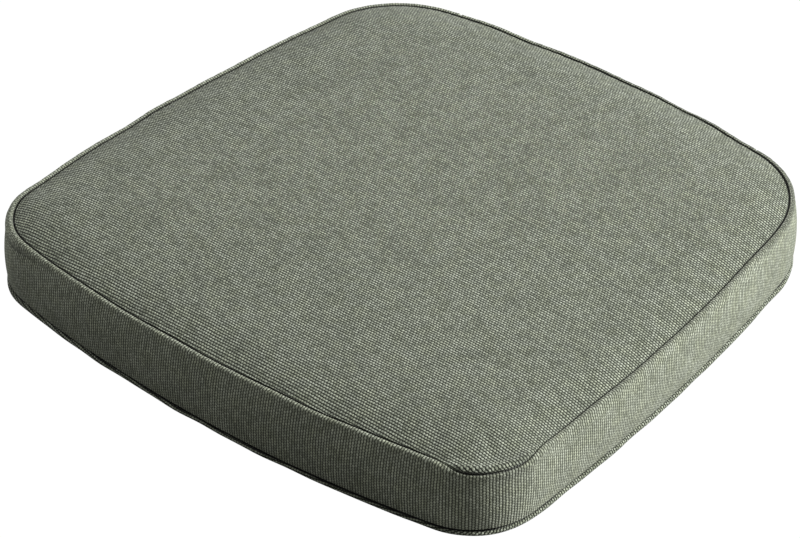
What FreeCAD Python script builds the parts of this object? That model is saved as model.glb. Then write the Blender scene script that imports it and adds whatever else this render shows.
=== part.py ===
"""Boxed chair seat pad: zipped woven cover over a lined foam and wadding filling.

Frame: millimetres, +Z up, X across the pad, front edge towards -Y, back edge towards +Y.
The origin is the middle of the flat underside.  Plies stack inwards from the outside of
the band; "inset" is the distance inwards from that outside face.
"""
import FreeCAD
import Part

import math
import os

import Sketcher

DOC = FreeCAD.newDocument("SeatPad")
SHEET = DOC.addObject("Spreadsheet::Sheet", "Sizes")

# Driving dimensions, each set by itself.
DRIVING = {
    "width": 400.0,  # widest measure across the pad
    "depth": 390.0,  # front apex to back apex
    "widest_forward": 98.0,  # how far the widest line lies in front of the middle
    "front_radius": 1080.0,  # gentle bow of the front edge
    "side_radius": 1330.0,  # gentle bow of both side edges
    "back_radius": 930.0,  # gentle bow of the back edge
    "front_corner": 45.0,
    "back_corner": 70.0,
    "fabric": 1.1,  # heavy plain-weave cover cloth
    "ply_gap": 0.15,  # air between two plies of cloth
    "seam_allowance": 8.0,
    "crown_rise": 9.0,  # how far the middle of the top stands above its seam
    "foam_thick": 38.0,
    "wadding_base": 3.0,
    "wadding_edge": 2.4,
    "liner_cloth": 0.5,
    "thread": 0.4,
    "zip_opening": 236.0,
    "zip_slot": 11.0,  # clear height between the two hemmed strips
    "hem": 7.0,
    "tape_thick": 0.5,
    "tape_wide": 10.4,
    "coil_wide": 2.7,
    "coil_thick": 2.1,
    "divider": 0.7,  # slider's divider between the coil halves
    "run_gap": 0.35,  # clearance of the slider on coils and tapes
    "slider_long": 10.0,
    "plate": 1.1,  # thickness of the slider's plates and flanges
    "bridge_long": 7.2,
    "bridge_wide": 2.0,
    "bridge_bar": 0.9,
    "pivot_bar": 1.3,  # diameter of the pull tab's cross bar
    "tab_long": 24.0,
    "tab_wide": 7.0,
    "tab_thick": 1.2,
    "tab_eye": 3.2,
    "eye_margin": 1.0,  # extra room between the eye and the end of the tab
    "stop_long": 2.6,
    "label_long": 45.0,
    "label_high": 24.0,
    "label_thick": 0.3,
    "end_margin": 6.0,  # from the end of a coil to the end of the zip opening
}

# Sizes that follow from the driving ones.
DERIVED = {
    "band_low": "fabric + ply_gap",
    "liner_low": "fabric + ply_gap",
    "wadding_low": "liner_low + liner_cloth + ply_gap",
    "foam_low": "wadding_low + wadding_base + ply_gap",
    "foam_top": "foam_low + foam_thick",
    "panel_low": "foam_top + ply_gap + wadding_edge + ply_gap + liner_cloth + ply_gap",
    "band_top": "panel_low - ply_gap",
    "band_high": "band_top - band_low",
    "zip_mid": "(band_top + band_low) / 2",
    "turn_in": "fabric + ply_gap",
    "turn_out": "2 * fabric + ply_gap",
    "rim_in": "2 * fabric + 2 * ply_gap",
    "rim_out": "3 * fabric + 2 * ply_gap",
    "coil_gap": "divider / 2 + run_gap",
    "tape_in": "turn_out + ply_gap",
    "slider_in": "tape_in + tape_thick + run_gap",
    "label_in": "slider_in + plate + run_gap",
    "liner_inset": "label_in + label_thick + ply_gap",
    "fill_inset": "liner_inset + liner_cloth + ply_gap",
    "coil_in": "tape_in - ply_gap - coil_thick",
    "plate_face": "run_gap + plate - coil_in",
    "flange_in": "coil_gap + coil_wide + run_gap",
    "pivot_out": "plate_face + run_gap + pivot_bar / 2",
    "bridge_out": "pivot_out + pivot_bar / 2 + run_gap + bridge_bar",
    "coil_half": "zip_opening / 2 - end_margin",
    "slider_half": "slider_long / 2",
    "slider_round": "slider_long / 7",
    "flange_half": "slider_half - slider_round",
    "divider_start": "slider_half - slider_long / 3",
    "eye_at": "tab_eye + eye_margin - tab_long",
    "slider_rest": "coil_half - stop_long - slider_half - run_gap",
}


def fill_sheet():
    """Write every size into the sheet under its own alias."""
    row = 1
    for name, value in DRIVING.items():
        SHEET.set("A%d" % row, name)
        SHEET.set("B%d" % row, str(value))
        SHEET.setAlias("B%d" % row, name)
        row += 1
    for name, formula in DERIVED.items():
        SHEET.set("A%d" % row, name)
        SHEET.set("B%d" % row, "=" + formula)
        SHEET.setAlias("B%d" % row, name)
        row += 1
    DOC.recompute()


def size(name):
    """Return one size from the sheet as a float."""
    return float(SHEET.get(name))


def tied(text):
    """Put the sheet's name before each size named in an expression."""
    words = []
    for word in text.replace("(", "( ").replace(")", " )").split():
        words.append("Sizes." + word if word in DRIVING or word in DERIVED else word)
    return " ".join(words)


def worth(text):
    """Work an expression out with the sheet's present values."""
    total = DOC.getObject("Worth")
    if total is None:
        total = DOC.addObject("App::FeaturePython", "Worth")
        total.addProperty("App::PropertyFloat", "Value")
    total.setExpression("Value", tied(text))
    total.recompute()
    return float(total.Value)


def plane(body, role):
    """Find one of a body's own origin planes by its role."""
    return next(item for item in body.Origin.OriginFeatures if item.Role == role)


def new_body(label):
    """Make an empty body that names one finished piece."""
    body = DOC.addObject("PartDesign::Body", label)
    body.Label = label
    body.AllowCompound = True
    return body


def new_sketch(body, name, level="0", role="XY_Plane"):
    """Make a sketch on one of the body's planes, lifted along the plane's normal."""
    sketch = body.newObject("Sketcher::SketchObject", body.Name + "_" + name)
    sketch.AttachmentSupport = [(plane(body, role), "")]
    sketch.MapMode = "FlatFace"
    sketch.setExpression(".AttachmentOffset.Base.z", tied(level))
    return sketch


def bind(sketch, constraint, name, text):
    """Add a dimension to a sketch and tie it to an expression."""
    index = sketch.addConstraint(constraint)
    sketch.renameConstraint(index, name)
    sketch.setExpression("Constraints." + name, tied(text))


def meeting(one, reach_one, two, reach_two, side_y):
    """Point at set distances from two centres, on the right and on the given side in y."""
    across = math.hypot(two[0] - one[0], two[1] - one[1])
    along = (reach_one ** 2 - reach_two ** 2 + across ** 2) / (2 * across)
    off = math.sqrt(reach_one ** 2 - along ** 2)
    ux = (two[0] - one[0]) / across
    uy = (two[1] - one[1]) / across
    options = []
    for turn in (1, -1):
        x = one[0] + ux * along - uy * off * turn
        y = one[1] + uy * along + ux * off * turn
        options.append((x, y))
    return max(options, key=lambda p: p[0] + side_y * p[1])


def add_outline(sketch, scale="1", inset="0"):
    """Add the pad's eight-arc outline: scaled about the middle, then moved inwards."""
    factor = worth(scale)
    inward = worth(inset)
    half_depth = size("depth") / 2 * factor
    front = (0.0, -half_depth + size("front_radius") * factor)
    back = (0.0, half_depth - size("back_radius") * factor)
    right = ((size("width") / 2 - size("side_radius")) * factor, -size("widest_forward") * factor)
    left = (-right[0], right[1])
    big = {
        "front": (front, size("front_radius") * factor),
        "right": (right, size("side_radius") * factor),
        "back": (back, size("back_radius") * factor),
        "left": (left, size("side_radius") * factor),
    }
    near = size("front_corner") * factor
    far = size("back_corner") * factor
    front_right = meeting(front, big["front"][1] - near, right, big["right"][1] - near, -1)
    back_right = meeting(back, big["back"][1] - far, right, big["right"][1] - far, 1)
    corners = {
        "front_right": (front_right, near),
        "back_right": (back_right, far),
        "back_left": ((-back_right[0], back_right[1]), far),
        "front_left": ((-front_right[0], front_right[1]), near),
    }

    def bearing(edge, corner):
        """Direction from an edge arc's centre through a corner arc's centre."""
        centre = big[edge][0]
        point = corners[corner][0]
        return math.atan2(point[1] - centre[1], point[0] - centre[0])

    ring = [
        ("front", "front_left", "front_right"),
        ("front_right", "front", "right"),
        ("right", "front_right", "back_right"),
        ("back_right", "right", "back"),
        ("back", "back_right", "back_left"),
        ("back_left", "back", "left"),
        ("left", "back_left", "front_left"),
        ("front_left", "left", "front"),
    ]
    base = sketch.GeometryCount
    for name, start, end in ring:
        centre, radius = big.get(name) or corners[name]
        if name in big:
            turn_from = bearing(name, start)
            turn_to = bearing(name, end)
        else:
            turn_from = bearing(start, name)
            turn_to = bearing(end, name)
        while turn_to < turn_from:
            turn_to += 2 * math.pi
        circle = Part.Circle(FreeCAD.Vector(*centre, 0), FreeCAD.Vector(0, 0, 1), radius - inward)
        sketch.addGeometry(Part.ArcOfCircle(circle, turn_from, turn_to), False)
    tag = "loop%d_" % base
    for place in range(8):
        after = base + (place + 1) % 8
        sketch.addConstraint(Sketcher.Constraint("Tangent", base + place, 2, after, 1))
    radii = {"front": "front_radius", "back": "back_radius", "right": "side_radius", "left": "side_radius"}
    for place, (name, _, _) in enumerate(ring):
        alias = radii.get(name, "front_corner" if name.startswith("front") else "back_corner")
        text = "%s * ( %s ) - ( %s )" % (alias, scale, inset)
        value = size(alias) * factor - inward
        bind(sketch, Sketcher.Constraint("Radius", base + place, value), tag + name, text)
    middles = {
        "front": (0, "0", "front_radius - depth / 2"),
        "right": (2, "width / 2 - side_radius", "0 - widest_forward"),
        "back": (4, "0", "depth / 2 - back_radius"),
        "left": (6, "side_radius - width / 2", "0 - widest_forward"),
    }
    for name, (place, x_text, y_text) in middles.items():
        centre = big[name][0]
        if x_text == "0":
            sketch.addConstraint(Sketcher.Constraint("PointOnObject", base + place, 3, -2))
        else:
            text = "( %s ) * ( %s )" % (x_text, scale)
            rule = Sketcher.Constraint("DistanceX", -1, 1, base + place, 3, centre[0])
            bind(sketch, rule, tag + name + "_x", text)
        text = "( %s ) * ( %s )" % (y_text, scale)
        rule = Sketcher.Constraint("DistanceY", -1, 1, base + place, 3, centre[1])
        bind(sketch, rule, tag + name + "_y", text)


def add_sector(sketch, inset_out, inset_in, start, end):
    """Add a strip that follows the back edge between two places along its outer face."""
    radius = size("back_radius")
    centre_y = size("depth") / 2 - radius
    outer = radius - worth(inset_out)
    inner = radius - worth(inset_in)
    first = math.asin(worth(start) / radius)
    last = math.asin(worth(end) / radius)
    middle = FreeCAD.Vector(0, centre_y, 0)
    up = FreeCAD.Vector(0, 0, 1)

    def spot(reach, turn):
        """Point on an arc about the back edge's centre; a turn of 0 points along +Y."""
        return FreeCAD.Vector(reach * math.sin(turn), centre_y + reach * math.cos(turn), 0)

    base = sketch.GeometryCount
    quarter = math.pi / 2
    for reach in (outer, inner):
        arc = Part.ArcOfCircle(Part.Circle(middle, up, reach), quarter - last, quarter - first)
        sketch.addGeometry(arc, False)
    for turn in (first, last):
        sketch.addGeometry(Part.LineSegment(spot(outer, turn), spot(inner, turn)), False)
    rules = [
        Sketcher.Constraint("Coincident", base, 3, base + 1, 3),
        Sketcher.Constraint("Coincident", base, 2, base + 2, 1),
        Sketcher.Constraint("Coincident", base + 1, 2, base + 2, 2),
        Sketcher.Constraint("Coincident", base, 1, base + 3, 1),
        Sketcher.Constraint("Coincident", base + 1, 1, base + 3, 2),
        Sketcher.Constraint("PointOnObject", base, 3, -2),
        Sketcher.Constraint("PointOnObject", base, 3, base + 2),
        Sketcher.Constraint("PointOnObject", base, 3, base + 3),
    ]
    sketch.addConstraint(rules)
    tag = "strip%d_" % base
    bind(sketch, Sketcher.Constraint("DistanceY", -1, 1, base, 3, centre_y), tag + "y", "depth / 2 - back_radius")
    bind(sketch, Sketcher.Constraint("Radius", base, outer), tag + "outer", "back_radius - ( %s )" % inset_out)
    bind(sketch, Sketcher.Constraint("Radius", base + 1, inner), tag + "inner", "back_radius - ( %s )" % inset_in)
    for name, point, turn, text in (("start", 2, first, start), ("end", 1, last, end)):
        reach = "( %s ) * ( back_radius - ( %s ) ) / back_radius" % (text, inset_out)
        rule = Sketcher.Constraint("DistanceX", -1, 1, base, point, outer * math.sin(turn))
        bind(sketch, rule, tag + name, reach)


def add_box(sketch, left, right, low, high):
    """Add a rectangle between four expressions in the sketch's own directions."""
    x0, x1, y0, y1 = (worth(text) for text in (left, right, low, high))
    corners = [(x0, y0), (x1, y0), (x1, y1), (x0, y1)]
    base = sketch.GeometryCount
    for place in range(4):
        start = FreeCAD.Vector(*corners[place], 0)
        end = FreeCAD.Vector(*corners[(place + 1) % 4], 0)
        sketch.addGeometry(Part.LineSegment(start, end), False)
    for place in range(4):
        after = base + (place + 1) % 4
        sketch.addConstraint(Sketcher.Constraint("Coincident", base + place, 2, after, 1))
    for place, kind in enumerate(("Horizontal", "Vertical", "Horizontal", "Vertical")):
        sketch.addConstraint(Sketcher.Constraint(kind, base + place))
    tag = "box%d_" % base
    bind(sketch, Sketcher.Constraint("DistanceX", -1, 1, base, 1, x0), tag + "left", left)
    bind(sketch, Sketcher.Constraint("DistanceX", -1, 1, base + 1, 1, x1), tag + "right", right)
    bind(sketch, Sketcher.Constraint("DistanceY", -1, 1, base, 1, y0), tag + "low", low)
    bind(sketch, Sketcher.Constraint("DistanceY", -1, 1, base + 2, 1, y1), tag + "high", high)


def pad(body, sketch, length):
    """Pad a sketch along its plane's normal by an expression."""
    feature = body.newObject("PartDesign::Pad", sketch.Name + "_pad")
    feature.Profile = sketch
    feature.setExpression("Length", tied(length))
    return feature


def pocket_through(body, sketch):
    """Cut a sketch right through the body, and prove that it cut something."""
    DOC.recompute()
    before = body.Shape.Volume
    feature = body.newObject("PartDesign::Pocket", sketch.Name + "_cut")
    feature.Profile = sketch
    feature.Type = "ThroughAll"
    feature.Midplane = True
    DOC.recompute()
    if not body.Shape.Volume < before - 1e-3:
        raise RuntimeError(feature.Name + " cut nothing")


def pad_ring(body, name, low, length, inset_out, inset_in):
    """Pad a closed ring between two insets of the outline."""
    sketch = new_sketch(body, name, low)
    add_outline(sketch, inset=inset_out)
    add_outline(sketch, inset=inset_in)
    pad(body, sketch, length)


def pad_slab(body, name, low, length, inset="0"):
    """Pad the whole outline at an inset."""
    sketch = new_sketch(body, name, low)
    add_outline(sketch, inset=inset)
    pad(body, sketch, length)


def pad_sector(body, name, low, length, inset_out, inset_in, start, end):
    """Pad a strip that follows the back edge."""
    sketch = new_sketch(body, name, low)
    add_sector(sketch, inset_out, inset_in, start, end)
    pad(body, sketch, length)


# The crown's tiers: scale of the outline and the share of the crown's rise reached there.
CROWN = (("1", "0"), ("0.965", "0.34"), ("0.86", "0.7"), ("0.6", "1"))


def crown(body, name, low, inset, cut=False):
    """Raise (or hollow) the shallow crown in tiers from the level of its edge."""
    tiers = []
    for place, (scale, share) in enumerate(CROWN):
        level = "%s + crown_rise * %s" % (low, share)
        sketch = new_sketch(body, "%s_tier%d" % (name, place), level)
        add_outline(sketch, scale, inset)
        tiers.append(sketch)
    DOC.recompute()
    kind = "PartDesign::SubtractiveLoft" if cut else "PartDesign::AdditiveLoft"
    loft = body.newObject(kind, body.Name + "_" + name)
    loft.Profile = tiers[0]
    loft.Sections = tiers[1:]
    loft.Ruled = True


def cut_slab(body, name, low, length, inset):
    """Cut the whole outline at an inset upwards from a level."""
    DOC.recompute()
    before = body.Shape.Volume
    sketch = new_sketch(body, name, low)
    add_outline(sketch, inset=inset)
    feature = body.newObject("PartDesign::Pocket", sketch.Name + "_cut")
    feature.Profile = sketch
    feature.Reversed = True
    feature.setExpression("Length", tied(length))
    DOC.recompute()
    if not body.Shape.Volume < before - 1e-3:
        raise RuntimeError(feature.Name + " cut nothing")


def make_top_panel():
    """Crowned top panel with its seam allowance turned down inside the band."""
    body = new_body("top_panel")
    pad_slab(body, "edge", "panel_low", "fabric")
    crown(body, "dome", "panel_low + fabric", "0")
    crown(body, "hollow", "panel_low", "rim_out", cut=True)
    low = "panel_low - seam_allowance"
    pad_ring(body, "allowance", low, "seam_allowance", "rim_in", "rim_out")


def make_bottom_panel():
    """Flat bottom panel with its seam allowance turned up inside the band."""
    body = new_body("bottom_panel")
    pad_slab(body, "sheet", "0", "fabric")
    pad_ring(body, "allowance", "fabric", "seam_allowance", "rim_in", "rim_out")


def turned_edge(body, name, low, add):
    """Fold one long edge of a wall inwards: the fold itself and the turned-in ply."""
    fold = "%s - fabric" % low if name == "top" else low
    ply = "%s - seam_allowance" % low if name == "top" else low
    add(body, name + "_fold", fold, "fabric", "0", "turn_out")
    add(body, name + "_ply", ply, "seam_allowance", "turn_in", "turn_out")


def make_boxing_band():
    """Band round the front and both sides, open at the back for the zip section."""
    body = new_body("boxing_band")
    pad_ring(body, "wall", "band_low", "band_high", "0", "fabric")
    turned_edge(body, "top", "band_top", pad_ring)
    turned_edge(body, "bottom", "band_low", pad_ring)
    sketch = new_sketch(body, "zip_gap", "zip_mid")
    reach = "zip_opening / 2 + ply_gap"
    add_sector(sketch, "0 - fabric", "rim_out", "0 - (%s)" % reach, reach)
    pocket_through(body, sketch)


def make_zip_strip(label, upper):
    """Hemmed strip of cover cloth above or below the zip."""
    body = new_body(label)
    half = "zip_opening / 2"

    def sector(owner, name, low, length, inset_out, inset_in):
        """Pad one ply of the strip over the whole zip opening."""
        pad_sector(owner, name, low, length, inset_out, inset_in, "0 - " + half, half)

    wall = "( band_high - zip_slot ) / 2"
    slot_edge = "zip_mid + zip_slot / 2" if upper else "zip_mid - zip_slot / 2"
    sector(body, "wall", slot_edge if upper else "band_low", wall, "0", "fabric")
    turned_edge(body, "top" if upper else "bottom", "band_top" if upper else "band_low", sector)
    fold = slot_edge if upper else slot_edge + " - fabric"
    ply = slot_edge if upper else slot_edge + " - hem"
    sector(body, "hem_fold", fold, "fabric", "0", "turn_out")
    sector(body, "hem_ply", ply, "hem", "turn_in", "turn_out")


def make_strip_piece(label, upper, near, wide, inset_out, inset_in, start, end):
    """Plain strip along the zip, standing off its middle line on one side."""
    body = new_body(label)
    low = "zip_mid + ( %s )" % near if upper else "zip_mid - ( %s ) - ( %s )" % (near, wide)
    pad_sector(body, "strip", low, wide, inset_out, inset_in, start, end)
    return body


def make_zip_chain():
    """Two tapes, two coil halves, the stops at both ends and the rows of topstitching."""
    half = "zip_opening / 2 - ply_gap"
    for name, upper in (("upper", True), ("lower", False)):
        tape = ("coil_gap", "tape_wide", "tape_in", "tape_in + tape_thick")
        make_strip_piece("zip_tape_" + name, upper, *tape, "0 - (%s)" % half, half)
        coil = ("coil_gap", "coil_wide", "coil_in", "coil_in + coil_thick")
        make_strip_piece("zip_coil_" + name, upper, *coil, "0 - coil_half", "coil_half")
        stitch = ("zip_slot / 2 + hem / 2", "thread", "0 - thread", "0")
        make_strip_piece("zip_stitch_" + name, upper, *stitch, "0 - (%s)" % half, half)
    start = "coil_half + ply_gap"
    end = "coil_half + ply_gap + stop_long"
    stops = new_body("zip_top_stops")
    for name, low in (("upper", "zip_mid + coil_gap"), ("lower", "zip_mid - coil_gap - coil_wide")):
        pad_sector(stops, name, low, "coil_wide", "coil_in", "coil_in + coil_thick", start, end)
    last = new_body("zip_bottom_stop")
    reach = "2 * ( coil_gap + coil_wide )"
    low = "zip_mid - coil_gap - coil_wide"
    pad_sector(last, "bar", low, reach, "coil_in", "coil_in + coil_thick", "0 - (%s)" % end, "0 - (%s)" % start)


def plate_on_band(body, name, face, thick, left, right, low, high):
    """Pad a rectangle inwards from a face that stands off the back of the band."""
    sketch = new_sketch(body, name, "0 - ( depth / 2 + ( %s ) )" % face, "XZ_Plane")
    add_box(sketch, left, right, low, high)
    return pad(body, sketch, thick)


def around_back(body, offset):
    """Carry a piece made at the middle of the back edge along the edge's arc."""
    centre = FreeCAD.Vector(0, size("depth") / 2 - size("back_radius"), 0)
    turn = -math.degrees(math.asin(offset / size("back_radius")))
    rotation = FreeCAD.Rotation(FreeCAD.Vector(0, 0, 1), turn)
    body.Placement = FreeCAD.Placement(centre - rotation.multVec(centre), rotation)


def round_edges(body, along, length, radius):
    """Round the body's straight edges that run along one direction with a given length."""
    DOC.recompute()
    names = []
    for number, edge in enumerate(body.Shape.Edges, 1):
        if len(edge.Vertexes) != 2 or edge.Curve.TypeId != "Part::GeomLine":
            continue
        run = edge.Vertexes[1].Point - edge.Vertexes[0].Point
        straight = abs(abs(run.dot(along)) - run.Length) < 1e-6
        if straight and abs(run.Length - length) < 1e-4:
            names.append("Edge%d" % number)
    base = body.Tip
    feature = body.newObject("PartDesign::Fillet", body.Name + "_round")
    feature.Base = (base, names)
    feature.setExpression("Radius", tied(radius))
    DOC.recompute()


def make_slider():
    """Zip slider: two plates joined by the divider, two flanges and the tab's bridge."""
    body = new_body("zip_slider")
    half = "slider_half"
    minus = "0 - slider_half"
    wide = "flange_in + plate"
    low = "zip_mid - ( %s )" % wide
    high = "zip_mid + ( %s )" % wide
    plate_on_band(body, "outer", "plate_face", "plate", minus, half, low, high)
    round_edges(body, FreeCAD.Vector(0, 1, 0), size("plate"), "slider_round")
    flange = "plate_face + tape_in - run_gap"
    for name, start in (("upper", "zip_mid + flange_in"), ("lower", "zip_mid - flange_in - plate")):
        end = start + " + plate"
        plate_on_band(body, name, "plate_face", flange, "0 - flange_half", "flange_half", start, end)
    reach = "plate_face + slider_in + plate"
    edge = "divider / 2"
    low = "zip_mid - " + edge
    high = "zip_mid + " + edge
    plate_on_band(body, "divider", "plate_face", reach, "divider_start", "flange_half", low, high)
    low = "zip_mid - flange_in"
    high = "zip_mid + flange_in"
    plate_on_band(body, "inner", "0 - slider_in", "plate", minus, half, low, high)
    long = "bridge_long / 2"
    low = "zip_mid - bridge_wide / 2"
    high = "zip_mid + bridge_wide / 2"
    plate_on_band(body, "bridge", "bridge_out", "bridge_bar", "0 - " + long, long, low, high)
    leg = "bridge_out - plate_face"
    legs = (("near", "0 - " + long, "bridge_bar - " + long), ("far", long + " - bridge_bar", long))
    for name, start, end in legs:
        plate_on_band(body, name, "bridge_out", leg, start, end, low, high)
    around_back(body, size("slider_rest"))


def make_pull_tab():
    """Pull tab: cross bar under the bridge, two arms and a plate with a finger eye."""
    body = new_body("zip_pull_tab")
    wide = "tab_wide / 2"
    bar = new_sketch(body, "bar", "zip_mid - " + wide)
    centre = FreeCAD.Vector(0, size("depth") / 2 + size("pivot_out"), 0)
    circle = Part.Circle(centre, FreeCAD.Vector(0, 0, 1), size("pivot_bar") / 2)
    bar.addGeometry(circle, False)
    bar.addConstraint(Sketcher.Constraint("PointOnObject", 0, 3, -2))
    bind(bar, Sketcher.Constraint("DistanceY", -1, 1, 0, 3, centre.y), "out", "depth / 2 + pivot_out")
    bind(bar, Sketcher.Constraint("Diameter", 0, size("pivot_bar")), "thick", "pivot_bar")
    pad(body, bar, "tab_wide")
    face = "pivot_out + tab_thick / 2"
    start = "0 - bridge_long / 2 - pivot_bar"
    arm = "( tab_wide - bridge_wide ) / 2 - run_gap"
    for name, low, high in (
        ("upper", "zip_mid + tab_wide / 2 - (%s)" % arm, "zip_mid + tab_wide / 2"),
        ("lower", "zip_mid - tab_wide / 2", "zip_mid - tab_wide / 2 + " + arm),
    ):
        plate_on_band(body, name, face, "tab_thick", start, "0", low, high)
    low = "zip_mid - " + wide
    high = "zip_mid + " + wide
    plate_on_band(body, "plate", face, "tab_thick", "0 - tab_long", start, low, high)
    eye = new_sketch(body, "eye", "0 - depth / 2", "XZ_Plane")
    middle = FreeCAD.Vector(size("eye_at"), size("zip_mid"), 0)
    eye.addGeometry(Part.Circle(middle, FreeCAD.Vector(0, 0, 1), size("tab_eye") / 2), False)
    bind(eye, Sketcher.Constraint("DistanceX", -1, 1, 0, 3, middle.x), "across", "eye_at")
    bind(eye, Sketcher.Constraint("DistanceY", -1, 1, 0, 3, middle.y), "level", "zip_mid")
    bind(eye, Sketcher.Constraint("Diameter", 0, size("tab_eye")), "bore", "tab_eye")
    pocket_through(body, eye)
    around_back(body, size("slider_rest"))


def make_seam_threads():
    """Seam threads on the inner face of the turned-in allowances, and the band's joins."""
    inner = "rim_out + ply_gap"
    outer = inner + " + thread"
    pad_ring(new_body("top_seam_thread"), "ring", "band_top - 2 * fabric", "thread", inner, outer)
    pad_ring(new_body("bottom_seam_thread"), "ring", "band_low + 2 * fabric", "thread", inner, outer)
    low = "band_low + seam_allowance + ply_gap"
    high = "band_high - 2 * ( seam_allowance + ply_gap )"
    at = "zip_opening / 2 + fabric"
    sides = (("right", at, at + " + thread"), ("left", "0 - (%s) - thread" % at, "0 - (%s)" % at))
    for name, start, end in sides:
        body = new_body("band_join_thread_" + name)
        pad_sector(body, "run", low, high, "turn_in", "turn_in + thread", start, end)


def make_filling():
    """Foam core, wadding over and under it, and the lining cover round them."""
    liner = new_body("liner_top")
    low = "wadding_low"
    pad_slab(liner, "wall", low, "panel_low - ply_gap - wadding_low", "liner_inset")
    crown(liner, "dome", "panel_low - ply_gap", "liner_inset")
    cut_slab(liner, "room", low, "panel_low - ply_gap - liner_cloth - wadding_low", "liner_inset + liner_cloth")
    crown(liner, "hollow", "panel_low - ply_gap - liner_cloth", "liner_inset + liner_cloth", cut=True)
    pad_slab(new_body("liner_base"), "sheet", "liner_low", "liner_cloth", "liner_inset")
    pad_slab(new_body("wadding_bottom"), "sheet", "wadding_low", "wadding_base", "fill_inset")
    pad_slab(new_body("foam_core"), "block", "foam_low", "foam_thick", "fill_inset")
    top = new_body("wadding_top")
    pad_slab(top, "sheet", "foam_top + ply_gap", "wadding_edge", "fill_inset")
    crown(top, "dome", "foam_top + ply_gap + wadding_edge", "fill_inset")


def make_label():
    """Blank care label sewn inside the cover near the zip."""
    body = new_body("care_label")
    start = "ply_gap - zip_opening / 2"
    low = "band_low + seam_allowance"
    end = start + " + label_long"
    pad_sector(body, "sheet", low, "label_high", "label_in", "label_in + label_thick", start, end)


def main():
    """Build the whole pad, prove every piece and write one file for each."""
    fill_sheet()
    make_top_panel()
    make_bottom_panel()
    make_boxing_band()
    make_zip_strip("zip_strip_upper", True)
    make_zip_strip("zip_strip_lower", False)
    make_zip_chain()
    make_slider()
    make_pull_tab()
    make_seam_threads()
    make_filling()
    make_label()
    DOC.recompute()
    for item in DOC.Objects:
        if "Invalid" in item.State or "Error" in item.State:
            raise RuntimeError("%s failed: %s" % (item.Name, item.State))
    os.makedirs("parts", exist_ok=True)
    for body in DOC.findObjects("PartDesign::Body"):
        shape = body.Shape
        if shape.isNull() or not shape.isValid() or shape.Volume <= 0:
            raise RuntimeError(body.Label + " has no sound shape")
        shape.exportStep(os.path.join("parts", body.Label + ".step"))
        box = shape.BoundBox
        text = "%-24s solids %d volume %10.1f  x %.2f %.2f  y %.2f %.2f  z %.2f %.2f"
        extent = (box.XMin, box.XMax, box.YMin, box.YMax, box.ZMin, box.ZMax)
        print(text % ((body.Label, len(shape.Solids), shape.Volume) + extent))


main()
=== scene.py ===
"""Boxed chair seat pad: woven cover pieces, rolled seams, zip and fine finishes.

Metres, +Z up, front edge towards -Y, zipped back edge towards +Y.  Each class holds one
sub-assembly's sizes and builds and dresses its pieces; each finish is a small class.
"""
import enum
import logging
import math
from dataclasses import dataclass, field

import bmesh
import bpy
import numpy as np
from mathutils import Matrix, Vector


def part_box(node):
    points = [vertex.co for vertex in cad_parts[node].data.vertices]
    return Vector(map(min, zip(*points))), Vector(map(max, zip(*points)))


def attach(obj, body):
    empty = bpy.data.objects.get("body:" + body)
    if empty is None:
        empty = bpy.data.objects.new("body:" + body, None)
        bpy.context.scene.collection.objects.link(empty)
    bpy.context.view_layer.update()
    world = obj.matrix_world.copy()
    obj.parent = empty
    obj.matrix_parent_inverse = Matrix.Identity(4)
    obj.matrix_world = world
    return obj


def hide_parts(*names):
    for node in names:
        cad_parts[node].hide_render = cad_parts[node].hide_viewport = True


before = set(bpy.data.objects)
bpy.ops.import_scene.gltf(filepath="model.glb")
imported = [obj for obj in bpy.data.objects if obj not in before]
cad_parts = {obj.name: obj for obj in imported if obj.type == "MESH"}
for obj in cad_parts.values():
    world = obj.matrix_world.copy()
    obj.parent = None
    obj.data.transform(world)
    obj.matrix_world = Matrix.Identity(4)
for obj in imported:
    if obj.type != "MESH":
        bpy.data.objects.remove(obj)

LOG = logging.getLogger("seat_pad")
MM = 0.001
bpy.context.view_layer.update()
PAD_DEPTH = 390 * MM
CREST_HEIGHT = 45.4 * MM
COVER_THICK = 0.85 * MM
ARC_STEP = 0.3 * MM
BAND_ROW = 0.75 * MM
LIP_PAINTED_SHADE = (0.0, 0.25, 0.7, 1.0, 1.0, 1.0, 1.0)  # painted shade on each row of a turned edge, darker the deeper the row lies in its seam's fold
CLOTH_RUN = {"quality": 6, "mass": 0.25, "use_pressure": True, "vertex_group_mass": "held",
             "tension_stiffness": 25, "compression_stiffness": 25, "shear_stiffness": 8,
             "bending_stiffness": 0.8}


class Grain(enum.Enum):
    """Which way the woven rows lie on a piece's own cloth map."""

    ALONG = "rows follow the map's first axis"
    ACROSS = "rows follow the map's second axis"


class Shape(enum.Enum):
    """Small shapes that are set in rows."""

    LOOP = "an upright loop of wire"
    STITCH = "a short rounded thread"


# x and y of a place on the outline, how far the filling pushes it out, and over what length.
EASES = (
    (0.2, -0.195, 0.28 * MM, 42 * MM),
    (-0.2, -0.195, -2.63 * MM, 42 * MM),
    (-0.2, 0.195, 0.81 * MM, 55 * MM),
    (0.2, 0.195, -0.71 * MM, 55 * MM),
    (0.0, -0.2, 0.2 * MM, 110 * MM),
    (0.2, -0.03, 0.98 * MM, 110 * MM),
    (0.0, 0.2, 1.32 * MM, 110 * MM),
    (-0.2, -0.03, -0.36 * MM, 110 * MM),
)

# x and y of a shallow crease in the band, its height, slant, depth and width.
DENTS = (
    (0.2, 0.012, 20 * MM, 0.75, -0.55 * MM, 4 * MM),
    (0.2, -0.06, 26 * MM, -0.5, -0.25 * MM, 7 * MM),
    (0.06, -0.2, 24 * MM, 0.4, -0.25 * MM, 9 * MM),
    (-0.13, -0.2, 22 * MM, -0.6, -0.3 * MM, 8 * MM),
)
DENT_HIGH = 11 * MM

# ---------------------------------------------------------------- shape of the pad


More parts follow.
